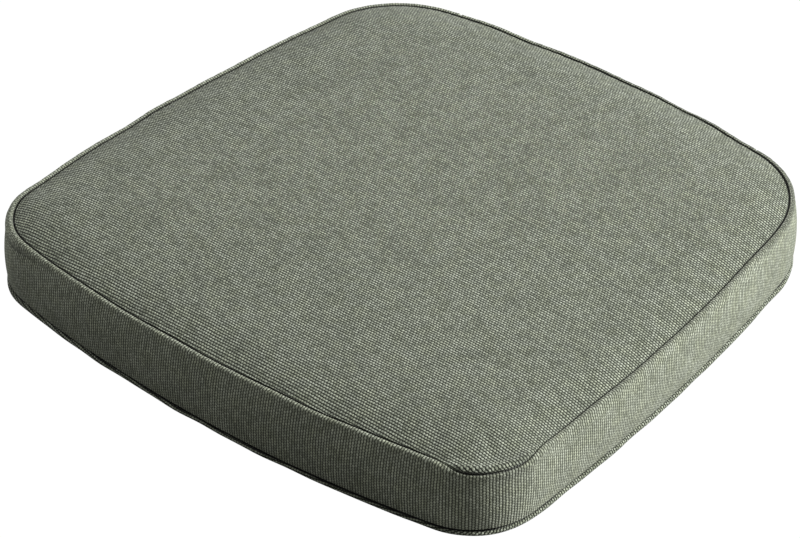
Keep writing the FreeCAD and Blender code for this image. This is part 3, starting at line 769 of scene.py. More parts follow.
class SharedEffects:
    """Shader node groups that more than one finish uses, built once."""

    _made: dict[str, bpy.types.NodeTree] = {}

    @classmethod
    def weave(cls) -> bpy.types.NodeTree:
        """Plain weave seen close: dashes of weft between lower warp knuckles, with yarn-dyed flecks; lower
        places are darker, partly real holes and partly painted shade.
        """
        if "weave" in cls._made:
            return cls._made["weave"]
        tree, given, result = new_group(
            "woven_rows",
            {"Place": (0.0, 0.0, 0.0), "Row Pitch": 1.84 * MM, "Dash Pitch": 1.96 * MM,
             "Pale Yarn": (0.4, 0.4, 0.3, 1.0), "Deep Yarn": (0.2, 0.2, 0.16, 1.0),
             "Gap": (0.02, 0.02, 0.015, 1.0), "Melange": 1.0, "Openness": 0.5},
            {"Colour": "NodeSocketColor", "Height": "NodeSocketFloat", "Nap": "NodeSocketFloat"})
        place = given.outputs["Place"]
        slow, quick = tree.noise(place, 45.0, 2.0), tree.noise(place, 420.0, 1.0)
        sway = place
        for clouds, by in ((slow, (1.6 * MM, 1.1 * MM, 0.0)), (quick, (0.75 * MM, 0.42 * MM, 0.0))):
            centred = tree.vector("SUBTRACT", clouds.outputs["Color"], (0.5, 0.5, 0.5))
            sway = tree.vector("MULTIPLY_ADD", centred, by, sway)
        parts = tree.add("ShaderNodeSeparateXYZ", {0: sway})
        row = tree.math("DIVIDE", parts.outputs[1], given.outputs["Row Pitch"])
        row_id = tree.math("FLOOR", row)
        across = tree.math("SUBTRACT", tree.math("FRACT", row), 0.5)
        shift = tree.math("FRACT", tree.math("MULTIPLY", row_id, 0.5))
        loose = tree.add("ShaderNodeTexWhiteNoise", {"W": row_id}, noise_dimensions="1D").outputs["Value"]
        along = tree.math("DIVIDE", parts.outputs[0], given.outputs["Dash Pitch"])
        along = tree.math("ADD", along, tree.math("MULTIPLY_ADD", loose, 0.22, shift))
        dash_id = tree.math("FLOOR", along)
        inside = tree.math("SUBTRACT", tree.math("FRACT", along), 0.5)
        # weft floats: one rounded dash per repeat
        turn = tree.math("COSINE", tree.math("MULTIPLY", inside, 2 * math.pi))
        reach = tree.math("MULTIPLY_ADD", turn, 0.5, 0.5)
        body = tree.math("SUBTRACT", 1.0, tree.math("MULTIPLY", tree.math("MULTIPLY", across, across), 4.0))
        body = tree.math("MAXIMUM", body, 0.0)
        weft = tree.math("MULTIPLY", tree.math("POWER", reach, 0.32), tree.math("POWER", body, 0.85))
        # warp knuckles between the dashes
        away = tree.math("SUBTRACT", 0.5, tree.math("ABSOLUTE", inside))
        knuckle = tree.math("SUBTRACT", 1.0, tree.math("MULTIPLY", tree.math("MULTIPLY", away, away), 22.0))
        knuckle = tree.math("MULTIPLY", tree.math("MAXIMUM", knuckle, 0.0), body)
        height = tree.math("MAXIMUM", weft, tree.math("MULTIPLY", knuckle, 0.72))
        # flecks: each dash, each row and wide patches differ in dye
        key = tree.add("ShaderNodeCombineXYZ", {0: row_id, 1: dash_id})
        fleck = tree.add("ShaderNodeTexWhiteNoise", {"Vector": key.outputs[0]}, noise_dimensions="2D")
        long_way = tree.vector("MULTIPLY", place, (70.0, 540.0, 1.0))
        streak = tree.noise(long_way, 1.0, 3.0, 0.6).outputs["Fac"]
        patch = tree.noise(place, 30.0, 3.0, 0.55).outputs["Fac"]
        fine = tree.noise(place, 1500.0, 2.0, 0.6).outputs["Fac"]
        dye = 0.0
        for value, amount in ((fleck.outputs["Value"], 0.75), (streak, 1.9), (patch, 0.7), (fine, 0.9)):
            dye = tree.swing(value, amount, dye)
        dye = tree.math("MULTIPLY_ADD", dye, given.outputs["Melange"], 0.5, clamp=True)
        yarn = tree.blend(dye, given.outputs["Deep Yarn"], given.outputs["Pale Yarn"])
        warm = tree.spread(tree.noise(place, 95.0, 2.0).outputs["Fac"], 0.35, 0.7)
        yarn = tree.blend(tree.math("MULTIPLY", warm, 0.35), yarn, (0.92, 0.92, 0.72, 1.0), "MULTIPLY")
        # darker where the yarn sinks: real holes between the yarns, and painted shade in the recesses and on
        # the lower warp knuckles
        edge = tree.math("MULTIPLY_ADD", given.outputs["Openness"], 0.5, 0.18)
        unshaded_yarn_share = tree.spread(height, edge, tree.math("ADD", edge, 0.34))
        tree.feed_all(result, {"Colour": tree.blend(unshaded_yarn_share, given.outputs["Gap"], yarn),
                               "Height": tree.math("MULTIPLY_ADD", fine, 0.25, height), "Nap": unshaded_yarn_share})
        cls._made["weave"] = tree.tree
        return tree.tree

    @classmethod
    def wear(cls) -> bpy.types.NodeTree:
        """Rubbed edges and faint grime: a mask of worn places and one of dull ones."""
        if "wear" in cls._made:
            return cls._made["wear"]
        tree, given, result = new_group(
            "handled_wear", {"Place": (0.0, 0.0, 0.0), "Grain": 900.0, "Amount": 0.5},
            {"Worn": "NodeSocketFloat", "Dull": "NodeSocketFloat"})
        near = tree.noise(given.outputs["Place"], 1.0, 4.0, 0.62)
        tree.feed(near, "Scale", given.outputs["Grain"])
        point = tree.add("ShaderNodeNewGeometry").outputs["Pointiness"]
        sharp = tree.spread(point, 0.5, 0.58)
        patchy = tree.spread(near.outputs["Fac"], 0.42, 0.62)
        rubbed = tree.math("MULTIPLY", sharp, patchy)
        worn = tree.math("MULTIPLY", rubbed, given.outputs["Amount"], clamp=True)
        wide = tree.noise(given.outputs["Place"], 160.0, 3.0, 0.5)
        tree.feed_all(result, {"Worn": worn, "Dull": wide.outputs["Fac"]})
        cls._made["wear"] = tree.tree
        return tree.tree


# ---------------------------------------------------------------- finishes

Colour = tuple[float, float, float, float]


def surface(name: str) -> tuple[bpy.types.Material, Tree, bpy.types.Node]:
    """A material with an empty tree, a Principled shader and its output.

    Args:
        name: the material's name.

    Returns:
        The material, its tree and its shader.
    """
    material = bpy.data.materials.new(name)
    material.use_nodes = True
    tree = Tree(material.node_tree)
    shader = tree.add("ShaderNodeBsdfPrincipled")
    tree.add("ShaderNodeOutputMaterial", {"Surface": shader.outputs[0]})
    return material, tree, shader


@dataclass(frozen=True)
class CoverCloth:
    """Heavy grey-green yarn-dyed plain weave with a soft nap."""

    name: str = "cover_cloth"
    grain: Grain = Grain.ALONG
    pale: Colour = (0.505, 0.547, 0.440, 1.0)
    deep: Colour = (0.215, 0.240, 0.180, 1.0)
    # colour of the holes between the yarns, with painted shade in the recesses
    gap: Colour = (0.026, 0.029, 0.020, 1.0)
    # near black painted as shade into the seams' folds and beside the top seam
    painted_fold_shadow: Colour = (0.006, 0.006, 0.005, 1.0)
    row_pitch: float = 1.84 * MM
    dash_pitch: float = 1.96 * MM
    openness: float = 0.56
    melange: float = 1.0
    relief: float = 0.42 * MM

    def make(self) -> bpy.types.Material:
        """Build the material on the piece's own cloth map."""
        material, tree, shader = surface(self.name)
        lay = tree.out("ShaderNodeUVMap", uv_map="cloth")
        turn = math.pi / 2 if self.grain is Grain.ACROSS else 0.0
        place = tree.out("ShaderNodeMapping", {"Vector": lay, "Rotation": (0.0, 0.0, turn)})
        weave = tree.add("ShaderNodeGroup", {
            "Place": place, "Row Pitch": self.row_pitch, "Dash Pitch": self.dash_pitch,
            "Pale Yarn": self.pale, "Deep Yarn": self.deep, "Gap": self.gap,
            "Melange": self.melange, "Openness": self.openness}, node_tree=SharedEffects.weave())
        # painted shade: the attribute mixes the weave towards near black in the seams' folds and beside the
        # top seam
        painted_fold_shade = tree.add("ShaderNodeAttribute", attribute_name="painted_fold_shade").outputs["Fac"]
        depth = tree.math("MULTIPLY", painted_fold_shade, 0.93)
        tree.feed_all(shader, {
            "Base Color": tree.blend(depth, weave.outputs["Colour"], self.painted_fold_shadow),
            "Normal": tree.bump(0.8, self.relief, weave.outputs["Height"]),
            "Roughness": tree.spread(weave.outputs["Nap"], 0.0, 1.0, 0.98, 0.86),
            "Specular IOR Level": 0.15, "Sheen Weight": 0.12, "Sheen Roughness": 0.6})
        return material


@dataclass(frozen=True)
class FineWeave:
    """Tapes and linings: a fine close weave on the object's own coordinates."""

    name: str
    pale: Colour
    deep: Colour
    pitch: float = 0.45 * MM
    roughness: float = 0.85

    def make(self) -> bpy.types.Material:
        """Build the material from the shared weave at a fine pitch."""
        material, tree, shader = surface(self.name)
        place = tree.out("ShaderNodeMapping", {"Vector": tree.spot(), "Rotation": (math.pi / 2, 0.0, 0.0)})
        # the gaps' colour: holes between the yarns, with painted shade in the recesses
        gap = tuple(0.35 * c for c in self.deep[:3]) + (1.0,)
        weave = tree.add("ShaderNodeGroup", {
            "Place": place, "Row Pitch": self.pitch, "Dash Pitch": self.pitch * 1.2,
            "Pale Yarn": self.pale, "Deep Yarn": self.deep, "Gap": gap,
            "Melange": 0.5, "Openness": 0.2}, node_tree=SharedEffects.weave())
        tree.feed_all(shader, {
            "Base Color": weave.outputs["Colour"],
            "Normal": tree.bump(0.6, 0.12 * MM, weave.outputs["Height"]),
            "Roughness": tree.spread(weave.outputs["Nap"], 0.0, 1.0, 1.0, self.roughness),
            "Sheen Weight": 0.1})
        return material


@dataclass(frozen=True)
class LooseFill:
    """Wadding and foam: a pale body with soft cells or fibres."""

    name: str
    pale: Colour
    deep: Colour
    cells: float
    relief: float

    def make(self) -> bpy.types.Material:
        """Build the material from cells and soft clouds on the object's coordinates."""
        material, tree, shader = surface(self.name)
        spot = tree.spot()
        cell = tree.out("ShaderNodeTexVoronoi", {"Vector": spot, "Scale": self.cells})
        cloud = tree.noise(spot, 40.0, 4.0, 0.6).outputs["Fac"]
        # darker where the cell bump sinks: painted shade in the cells' hollows; the clouds add random tone
        share = tree.math("MULTIPLY_ADD", cell, 0.6, tree.math("MULTIPLY", cloud, 0.5), clamp=True)
        tree.feed_all(shader, {"Base Color": tree.blend(share, self.deep, self.pale),
                               "Normal": tree.bump(0.5, self.relief, cell),
                               "Roughness": tree.spread(cloud, 0.2, 0.8, 0.85, 1.0)})
        return material


@dataclass(frozen=True)
class SewingThread:
    """Spun thread: a fine slanting twist, painted darker in its grooves as shade, with fibres of random tone.
    """

    name: str = "sewing_thread"
    pale: Colour = (0.30, 0.32, 0.25, 1.0)
    deep: Colour = (0.13, 0.14, 0.10, 1.0)
    twist: float = 2600.0

    def make(self) -> bpy.types.Material:
        """Build the material on the object's coordinates."""
        material, tree, shader = surface(self.name)
        spot = tree.spot()
        slant = tree.out("ShaderNodeMapping", {"Vector": spot, "Rotation": (0.0, 0.7, 0.6)})
        wave = tree.add("ShaderNodeTexWave", {"Vector": slant, "Scale": self.twist / 6.28,
                                              "Distortion": 1.2, "Detail": 1.0}).outputs["Fac"]
        fibre = tree.noise(spot, 4000.0, 2.0).outputs["Fac"]
        # darker where the twist's bump sinks: painted shade in the grooves; the fibre noise adds random tone
        share = tree.math("MULTIPLY_ADD", wave, 0.6, tree.math("MULTIPLY", fibre, 0.4))
        tree.feed_all(shader, {"Base Color": tree.blend(share, self.deep, self.pale),
                               "Normal": tree.bump(0.5, 0.08 * MM, wave),
                               "Roughness": tree.spread(fibre, 0.2, 0.8, 0.7, 0.95),
                               "Sheen Weight": 0.15})
        return material


@dataclass(frozen=True)
class HardWare:
    """Enamelled zinc or satin nylon with rubbed edges."""

    name: str
    body: Colour
    worn: Colour
    metallic: float
    roughness: float
    amount: float

    def make(self) -> bpy.types.Material:
        """Build the material with the shared wear."""
        material, tree, shader = surface(self.name)
        spot = tree.spot()
        wear = tree.add("ShaderNodeGroup", {"Place": spot, "Grain": 900.0, "Amount": self.amount},
                        node_tree=SharedEffects.wear())
        dull = wear.outputs["Dull"]
        grimy = tuple(0.7 * c for c in self.body[:3]) + (1.0,)
        shade = tree.blend(tree.spread(dull, 0.3, 0.7, 0.0, 0.4), self.body, grimy)
        rougher = min(1.0, self.roughness + 0.2)
        grain = tree.noise(spot, 2400.0, 2.0).outputs["Fac"]
        tree.feed_all(shader, {"Base Color": tree.blend(wear.outputs["Worn"], shade, self.worn),
                               "Roughness": tree.spread(dull, 0.25, 0.75, self.roughness, rougher),
                               "Metallic": self.metallic,
                               "Normal": tree.bump(0.25, 0.03 * MM, grain)})
        return material


def lining_weave(name: str) -> bpy.types.Material:
    """The off-white lining's finish."""
    return FineWeave(name, (0.80, 0.79, 0.74, 1), (0.68, 0.67, 0.61, 1)).make()


def wadding_fill(name: str) -> bpy.types.Material:
    """The white wadding's finish."""
    return LooseFill(name, (0.9, 0.9, 0.88, 1), (0.7, 0.7, 0.68, 1), 700.0, 0.3 * MM).make()


# ---------------------------------------------------------------- sub-assemblies


@dataclass
class Cover:
    """The sewn cover: top panel, boxing band, the two strips beside the zip and bottom panel."""

    form: Form
    cloth: float
    around_top: int = 820
    around_band: int = 1180
    around_strip: int = 240
    bead: float = 2.0 * MM
    bead_out: float = 1.0 * MM
    hem_tuck: float = 1.7 * MM
    flap: float = 0.4 * MM
    floor_gap: float = 0.1 * MM
    bead_inset: float = 0.4 * MM
    bead_foot: float = 0.55
    bead_from: float = math.radians(125)
    bead_rows: int = 22
    flat_steps: tuple = (2 * MM, 5 * MM, 9 * MM, 14 * MM, 20 * MM, 28 * MM)
    cuts: dict = field(default_factory=dict)

    def lip_rows(self, edge: np.ndarray, run: np.ndarray, way: float,
                 tuck: float | None = None) -> list[np.ndarray]:
        """Rows that turn a cloth edge down into its seam.

        Args:
            edge: section place where the turn starts.
            run: lengths along the outline.
            way: 1 turns towards rising section places, -1 towards falling ones.
            tuck: how deep the edge goes in, or None for a seam's usual depth.

        Returns:
            Rows of points, in order from the surface into the seam.
        """
        form, rows = self.form, []
        deep = form.tuck if tuck is None else tuck
        base = form.relief(edge, run)
        for turn in np.linspace(0, math.pi / 2, 6)[1:]:
            reach = way * form.lip * math.sin(turn)
            rows.append(form.place(edge, run, base - form.lip * (1 - math.cos(turn)), reach))
        for share in (0.5, 1.0):
            drop = form.lip + max(0.2 * MM, deep - form.lip) * share
            close = form.gap * 0.47 * share * form.open_seam(run) if tuck is None else 0.0
            rows.append(form.place(edge, run, base - drop, way * (form.lip + close)))
        return rows

    def build_top(self) -> bpy.types.Object:
        """The crowned top panel with its edge turned into the seam."""
        form = self.form
        run = form.outline.places(self.around_top)
        rings, steps = 30, 36
        points = [form.inner_ring(ring / rings, run) for ring in range(1, rings)]
        chart = [row[:, :2] for row in points]
        edge = form.seam(run) - form.lip - form.gap / 2 * form.open_seam(run)
        base, normal = form.outline.at(run)
        for share in 1 - (1 - np.linspace(0, 1, steps)) ** 1.6:
            q = form.zone_start + (edge - form.zone_start) * share
            points.append(form.place(q, run, form.relief(q, run)))
            chart.append(base + normal * (q - form.edge_bend + form.quarter)[:, None])
        grow = chart[-1]
        for place, row in enumerate(self.lip_rows(edge, run, 1.0)):
            points.append(row)
            chart.append(grow + normal * (self.flap * (place + 1)))
        # painted shade on the rows turned into the seam, less where the seam is pinched shut
        painted_fold_shade = np.outer([0.0] * (rings - 1 + steps) + list(LIP_PAINTED_SHADE), form.open_seam(run))
        piece = grid_mesh("top_cover", np.array(points), wrap=True, cap_start=True,
                          chart=np.array(chart), painted_fold_shade=painted_fold_shade)
        return ply(piece, self.cloth)

    def build_band(self) -> bpy.types.Object:
        """The boxing band from one end of the zip round the front to the other."""
        run = np.linspace(self.form.zip_half, self.form.outline.length - self.form.zip_half, self.around_band)
        return self.side_piece("band_cover", run, None, None)

    def build_strip(self, name: str, upper: float | None, lower: float | None) -> bpy.types.Object:
        """One of the two strips beside the zip.

        Args:
            name: the piece's name.
            upper: height of its upper edge, or None at the top seam.
            lower: height of its lower edge, or None at the bottom seam.

        Returns:
            The strip.
        """
        run = np.linspace(-self.form.zip_half, self.form.zip_half, self.around_strip)
        return self.side_piece(name, run, upper, lower)

    def side_piece(self, name: str, run: np.ndarray, upper: float | None,
                   lower: float | None) -> bpy.types.Object:
        """A strip of the side between two edges, all its edges turned in.

        Args:
            name: the piece's name.
            run: lengths along the outline that its columns stand at.
            upper: height of its upper edge, or None at the top seam.
            lower: height of its lower edge, or None at the bottom seam.

        Returns:
            The piece with its thickness.
        """
        form = self.form
        level = form.quarter + form.crest - form.edge_bend
        first = (form.seam(run) if upper is None else np.full_like(run, level - upper)) + form.lip
        last = np.full_like(run, form.band_end if lower is None else level - lower) - form.lip
        first = first + (form.gap / 2 * form.open_seam(run) if upper is None else 0)
        last = last + (form.foot(run) - form.gap / 2 if lower is None else 0)
        ends = np.minimum(np.abs(run - run[0]), np.abs(run - run[-1]))
        bend = np.clip(1 - ends / (1.3 * form.lip), 0, 1)
        sunk = form.tuck * bend ** 2
        points, chart, painted_fold_shade = [], [], []
        lead = self.lip_rows(first, run, -1.0, None if upper is None else self.hem_tuck)[::-1]
        for place, row in enumerate(lead):
            points.append(row)
            chart.append(np.stack([run, -first + self.flap * (len(lead) - place)], axis=1))
        # painted shade on the rows turned into the upper edge, less where the top seam is pinched shut
        open_top = form.open_seam(run) if upper is None else np.ones_like(run)
        painted_fold_shade += [deep * open_top for deep in LIP_PAINTED_SHADE[::-1]]
        count = max(12, int(float((last - first).max()) / BAND_ROW))
        even = np.linspace(0, 1, count)
        for share in 0.55 * even + 0.45 * (0.5 - 0.5 * np.cos(math.pi * even)):
            q = first + (last - first) * share
            points.append(form.place(q, run, form.relief(q, run) - sunk + self.dent(q, run)))
            chart.append(np.stack([run, -q], axis=1))
            # painted shade on the band beside the top seam
            painted_fold_shade.append(form.painted_crease_shade(q, run))
        tail = self.lip_rows(last, run, 1.0, None if lower is None else self.hem_tuck)
        for place, row in enumerate(tail):
            points.append(row)
            chart.append(np.stack([run, -last - self.flap * (place + 1)], axis=1))
        # painted shade on the rows turned into the lower edge
        painted_fold_shade += [deep + 0 * run for deep in LIP_PAINTED_SHADE]
        walked = np.linalg.norm(np.diff(np.array(points), axis=0), axis=2).sum(axis=0)
        self.cuts[name] = (float(walked.mean()), float(run[-1] - run[0]))
        piece = grid_mesh(name, np.array(points), wrap=False, chart=np.array(chart),
                          painted_fold_shade=np.array(painted_fold_shade))
        return ply(piece, self.cloth)

    def dent(self, q: np.ndarray, run: np.ndarray) -> np.ndarray:
        """Shallow creases where the band gives."""
        form = self.form
        total = np.zeros_like(run)
        for x, y, high, slant, deep, wide in DENTS:
            off = form.around(form.outline.nearest(x, y), run) - slant * (q - high)
            total = total + deep * bell(off, wide) * bell(q - high, DENT_HIGH)
        return total

    def build_bottom(self) -> bpy.types.Object:
        """The underside panel with its rolled edge standing out below the bottom seam."""
        form = self.form
        run = form.outline.places(self.around_top)
        point, normal = form.outline.at(run)

        def ring_at(reach: np.ndarray, high: np.ndarray) -> np.ndarray:
            """One ring of points outside the outline at a height."""
            return np.c_[point + normal * reach[:, None], high]

        out = self.bead_out + form.lean(run) + 0.4 * MM * form.uneven(run, 13, 44)
        radius = self.bead - self.bead_foot * form.foot(run) + 0.12 * MM * form.uneven(run, 17, 45)
        top_out, _, _ = form.section(np.full_like(run, form.band_end), run)
        lift, first = self.floor_gap, self.bead_from
        middle_out, middle_high = out - radius + self.bead_inset, radius + lift
        start_high = middle_high + radius * math.sin(first)
        # painted shade: the rows tucked into the bottom seam are painted dark, and the bead's upper side
        # fades from dark to none round its outer face
        rows, painted_fold_shade = [], []
        for share in (0.0, 0.5):
            reach = (top_out - form.tuck) * (1 - share) + (middle_out + radius * math.cos(first)) * share
            rows.append(ring_at(reach, start_high - 0.5 * MM * (1 - share)))
            painted_fold_shade.append(1.0)
        for turn in np.linspace(first, -math.pi / 2, self.bead_rows):
            rows.append(ring_at(middle_out + radius * math.cos(turn), middle_high + radius * math.sin(turn)))
            painted_fold_shade.append(float(np.clip((math.degrees(turn) - 62) / 30, 0, 1)))
        for inward in self.flat_steps:
            rows.append(ring_at(middle_out - inward, np.full_like(run, lift)))
        ring = rows[-1]
        rolled = len(rows)
        for scale in np.linspace(1, 0, 22)[1:-1]:
            rows.append(np.c_[ring[:, :2] * scale, np.full_like(run, lift)])
        points = np.array(rows)
        step = np.linalg.norm(np.diff(points[:rolled], axis=0), axis=2)
        walked = np.vstack([np.zeros_like(run), np.cumsum(step, axis=0)])
        chart = points[:, :, :2].copy()
        left = (walked[-1][None] - walked)[..., None]
        chart[:rolled] = ring[None, :, :2] + normal[None] * left
        painted_fold_shade += [0.0] * (len(rows) - len(painted_fold_shade))
        piece = grid_mesh("bottom_cover", points, wrap=True, cap_end=True, chart=chart,
                          painted_fold_shade=np.array(painted_fold_shade))
        return ply(piece, self.cloth)

    def make(self, low_edge: float, high_edge: float) -> None:
        """Build and dress the five cover pieces.

        Args:
            low_edge: height of the zip slot's lower side.
            high_edge: height of the slot's upper side.
        """
        along = CoverCloth().make()
        # the band's gap colour, holes with painted shade in the recesses, is lighter than the top's
        across = CoverCloth("band_cloth", Grain.ACROSS, gap=(0.062, 0.068, 0.048, 1.0), openness=0.44,
                            deep=(0.255, 0.278, 0.210, 1.0), pale=(0.515, 0.553, 0.440, 1.0)).make()
        dress(self.build_top(), "pad", along, "cover_cloth", "top_panel", fill=0.8)
        dress(self.build_band(), "pad", across, "cover_cloth", "boxing_band", fill=0.8)
        dress(self.build_bottom(), "pad", along, "cover_cloth", "bottom_panel", fill=0.5)
        upper = self.build_strip("zip_strip_upper_cover", None, high_edge)
        lower = self.build_strip("zip_strip_lower_cover", low_edge, None)
        dress(upper, "pad", across, "cover_cloth", "zip_strip_upper")
        dress(lower, "pad", across, "cover_cloth", "zip_strip_lower")
        for strip, support in ((upper, ["top_cover", "zip_tape_upper"]),
                               (lower, ["bottom_cover", "zip_tape_lower"])):
            LOG.info("%s cut %.1f by %.1f mm", strip.name, *(1000 * size for size in self.cuts[strip.name]))


@dataclass
class Filling:
    """What the cover holds, shaped to the swollen cover: lining and top wadding."""

    form: Form
    foam_top: float
    around: int = 300
    behind_zip: float = 5.3 * MM
    seam_clear: float = 2.3 * MM
    seam_wide: float = 4.5 * MM
    lining_inset: float = 1.9 * MM
    lining_thick: float = 0.4 * MM
    wadding_inset: float = 2.9 * MM
    foam_gap: float = 0.2 * MM
    thinnest: float = 0.4 * MM

    def surface_rows(self, inset: float, down_to: float) -> list[np.ndarray]:
        """Rows of points under the cover from the middle of the top to a section place.

        Args:
            inset: how far under the cover's outer face the rows lie.
            down_to: the last section place.

        Returns:
            Rows of points.
        """
        form = self.form
        run = form.outline.places(self.around)
        behind = form.outline.back_arc(form.around(0.0, run), -self.behind_zip)
        rows = []
        for ring in range(1, 16):
            row = form.inner_ring(ring / 16, run)
            row[:, 2] -= inset
            rows.append(row)
        for q in np.linspace(form.zone_start, down_to, 26):
            place = np.full_like(run, q)
            clear = inset + self.seam_clear * bell(place - form.seam(run), self.seam_wide)
            row = form.place(place, run, -clear)
            share = (form.zip_stretch(run) * np.clip((q - 1 * MM) / (5 * MM), 0, 1))[:, None]
            row[:, :2] = row[:, :2] * (1 - share) + behind * share
            rows.append(row)
        return rows

    def make(self) -> None:
        """Build and dress the lining and the wadding on top of the foam."""
        form = self.form
        rows = self.surface_rows(self.lining_inset, form.band_end - 2 * MM)
        lining = grid_mesh("lining_cover", np.array(rows), wrap=True, cap_start=True)
        lining = ply(lining, self.lining_thick)
        dress(lining, "pad", lining_weave("lining"), "liner_cloth", "liner_top", fill=0.7)
        rows = self.surface_rows(self.wadding_inset, -1 * MM)
        floor = self.foam_top + self.foam_gap
        for row in rows:
            row[:, 2] = np.maximum(row[:, 2], floor + self.thinnest)
        under = [row.copy() for row in (rows[-1], rows[10])]
        for row in under:
            row[:, 2] = floor
        puff = grid_mesh("top_wadding", np.array(rows + under), wrap=True, cap_start=True, cap_end=True)
        dress(puff, "pad", wadding_fill("white_wadding"), "wadding", "wadding_top", fill=0.7)


def repeat_tree(name: str, kind: Shape) -> bpy.types.NodeTree:
    """A Geometry Nodes tree that sets one small shape along a line.

    Args:
        name: the tree's name.
        kind: the shape that is repeated.

    Returns:
        The tree, with inputs Pitch, Long, Wide, Deep, Wire, Lean and Finish.
    """
    group = bpy.data.node_groups.new(name, "GeometryNodeTree")
    tree = Tree(group)
    group.interface.new_socket("Geometry", in_out="INPUT", socket_type="NodeSocketGeometry")
    for label in ("Pitch", "Long", "Wide", "Deep", "Wire", "Lean"):
        group.interface.new_socket(label, in_out="INPUT", socket_type="NodeSocketFloat")
    group.interface.new_socket("Finish", in_out="INPUT", socket_type="NodeSocketMaterial")
    group.interface.new_socket("Geometry", in_out="OUTPUT", socket_type="NodeSocketGeometry")
    given, result = tree.add("NodeGroupInput"), tree.add("NodeGroupOutput")
    sizes = given.outputs
    line = tree.out("GeometryNodeMeshToCurve", {0: sizes["Geometry"]})
    spots = tree.add("GeometryNodeCurveToPoints", {"Curve": line, "Length": sizes["Pitch"]}, mode="LENGTH")
    facing = tree.out("FunctionNodeAlignRotationToVector", {"Vector": spots.outputs["Tangent"]}, axis="X")
    if kind is Shape.LOOP:
        ring = tree.out("GeometryNodeCurvePrimitiveCircle", {"Resolution": 9, "Radius": 0.5})
        size = tree.out("ShaderNodeCombineXYZ", {0: sizes["Deep"], 1: sizes["Wide"], 2: 1.0})
        flat = tree.out("GeometryNodeTransform", {"Geometry": ring, "Scale": size})
        tilt = tree.out("FunctionNodeInputVector", vector=(math.pi / 2, 0.0, math.pi / 2))
        stood = tree.out("GeometryNodeTransform", {"Geometry": flat, "Rotation": tilt})
        wire = tree.out("GeometryNodeCurvePrimitiveCircle", {"Resolution": 5, "Radius": sizes["Wire"]})
        part = tree.out("GeometryNodeCurveToMesh", {"Curve": stood, "Profile Curve": wire})
    else:
        bead = tree.out("GeometryNodeMeshUVSphere", {"Segments": 8, "Rings": 5, "Radius": 0.5})
        size = tree.out("ShaderNodeCombineXYZ", {0: sizes["Long"], 1: sizes["Deep"], 2: sizes["Wide"]})
        part = tree.out("GeometryNodeTransform", {"Geometry": bead, "Scale": size})
    lean = tree.out("ShaderNodeCombineXYZ", {0: 0.0, 1: sizes["Lean"], 2: 0.0})
    leaned = tree.out("GeometryNodeTransform", {"Geometry": part, "Rotation": lean})
    many = tree.out("GeometryNodeInstanceOnPoints", {
        "Points": spots.outputs["Points"], "Instance": leaned, "Rotation": facing})
    smooth = tree.out("GeometryNodeSetShadeSmooth", {0: tree.out("GeometryNodeRealizeInstances", {0: many})})
    done = tree.out("GeometryNodeSetMaterial", {"Geometry": smooth, "Material": sizes["Finish"]})
    tree.feed(result, 0, done)
    return group


def in_row(name: str, kind: Shape, line: np.ndarray, sizes: dict,
           finish: bpy.types.Material) -> bpy.types.Object:
    """Set a small shape along a line and turn the result into a plain mesh.

    Args:
        name: the piece's name.
        kind: the shape that is repeated.
        line: points that the row follows.
        sizes: values of the tree's named inputs, in metres.
        finish: the row's material.

    Returns:
        The piece, with no modifier left.
    """
    mesh = bpy.data.meshes.new(name)
    mesh.from_pydata(line.tolist(), [(k, k + 1) for k in range(len(line) - 1)], [])
    piece = link(name, mesh)
    label = "row_of_" + kind.name.lower()
    tree = bpy.data.node_groups.get(label) or repeat_tree(label, kind)
    rows = piece.modifiers.new("rows", "NODES")
    rows.node_group = tree
    sockets = {item.name: item.identifier for item in tree.interface.items_tree
               if item.in_out == "INPUT"}
    for label, value in {**sizes, "Finish": finish}.items():
        rows[sockets[label]] = value
    return settle(piece)


def dress(piece: bpy.types.Object, body: str, finish: bpy.types.Material | None, slot: str,
          *nodes: str, fill: float | None = None) -> bpy.types.Object:
    """Give a piece its finish and body, and hide the CAD nodes that it stands for.

    Args:
        piece: the piece.
        body: the body that it moves with.
        finish: its material, or None where the mesh has one.
        slot: not used.
        nodes: CAD nodes that it replaces.
        fill: not used.

    Returns:
        The piece.
    """
    if finish is not None:
        piece.data.materials.clear()
        piece.data.materials.append(finish)
    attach(piece, body)
    if nodes:
        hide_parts(*nodes)
    LOG.info("%s rides on %s: %d faces", piece.name, body, len(piece.data.polygons))
    return piece


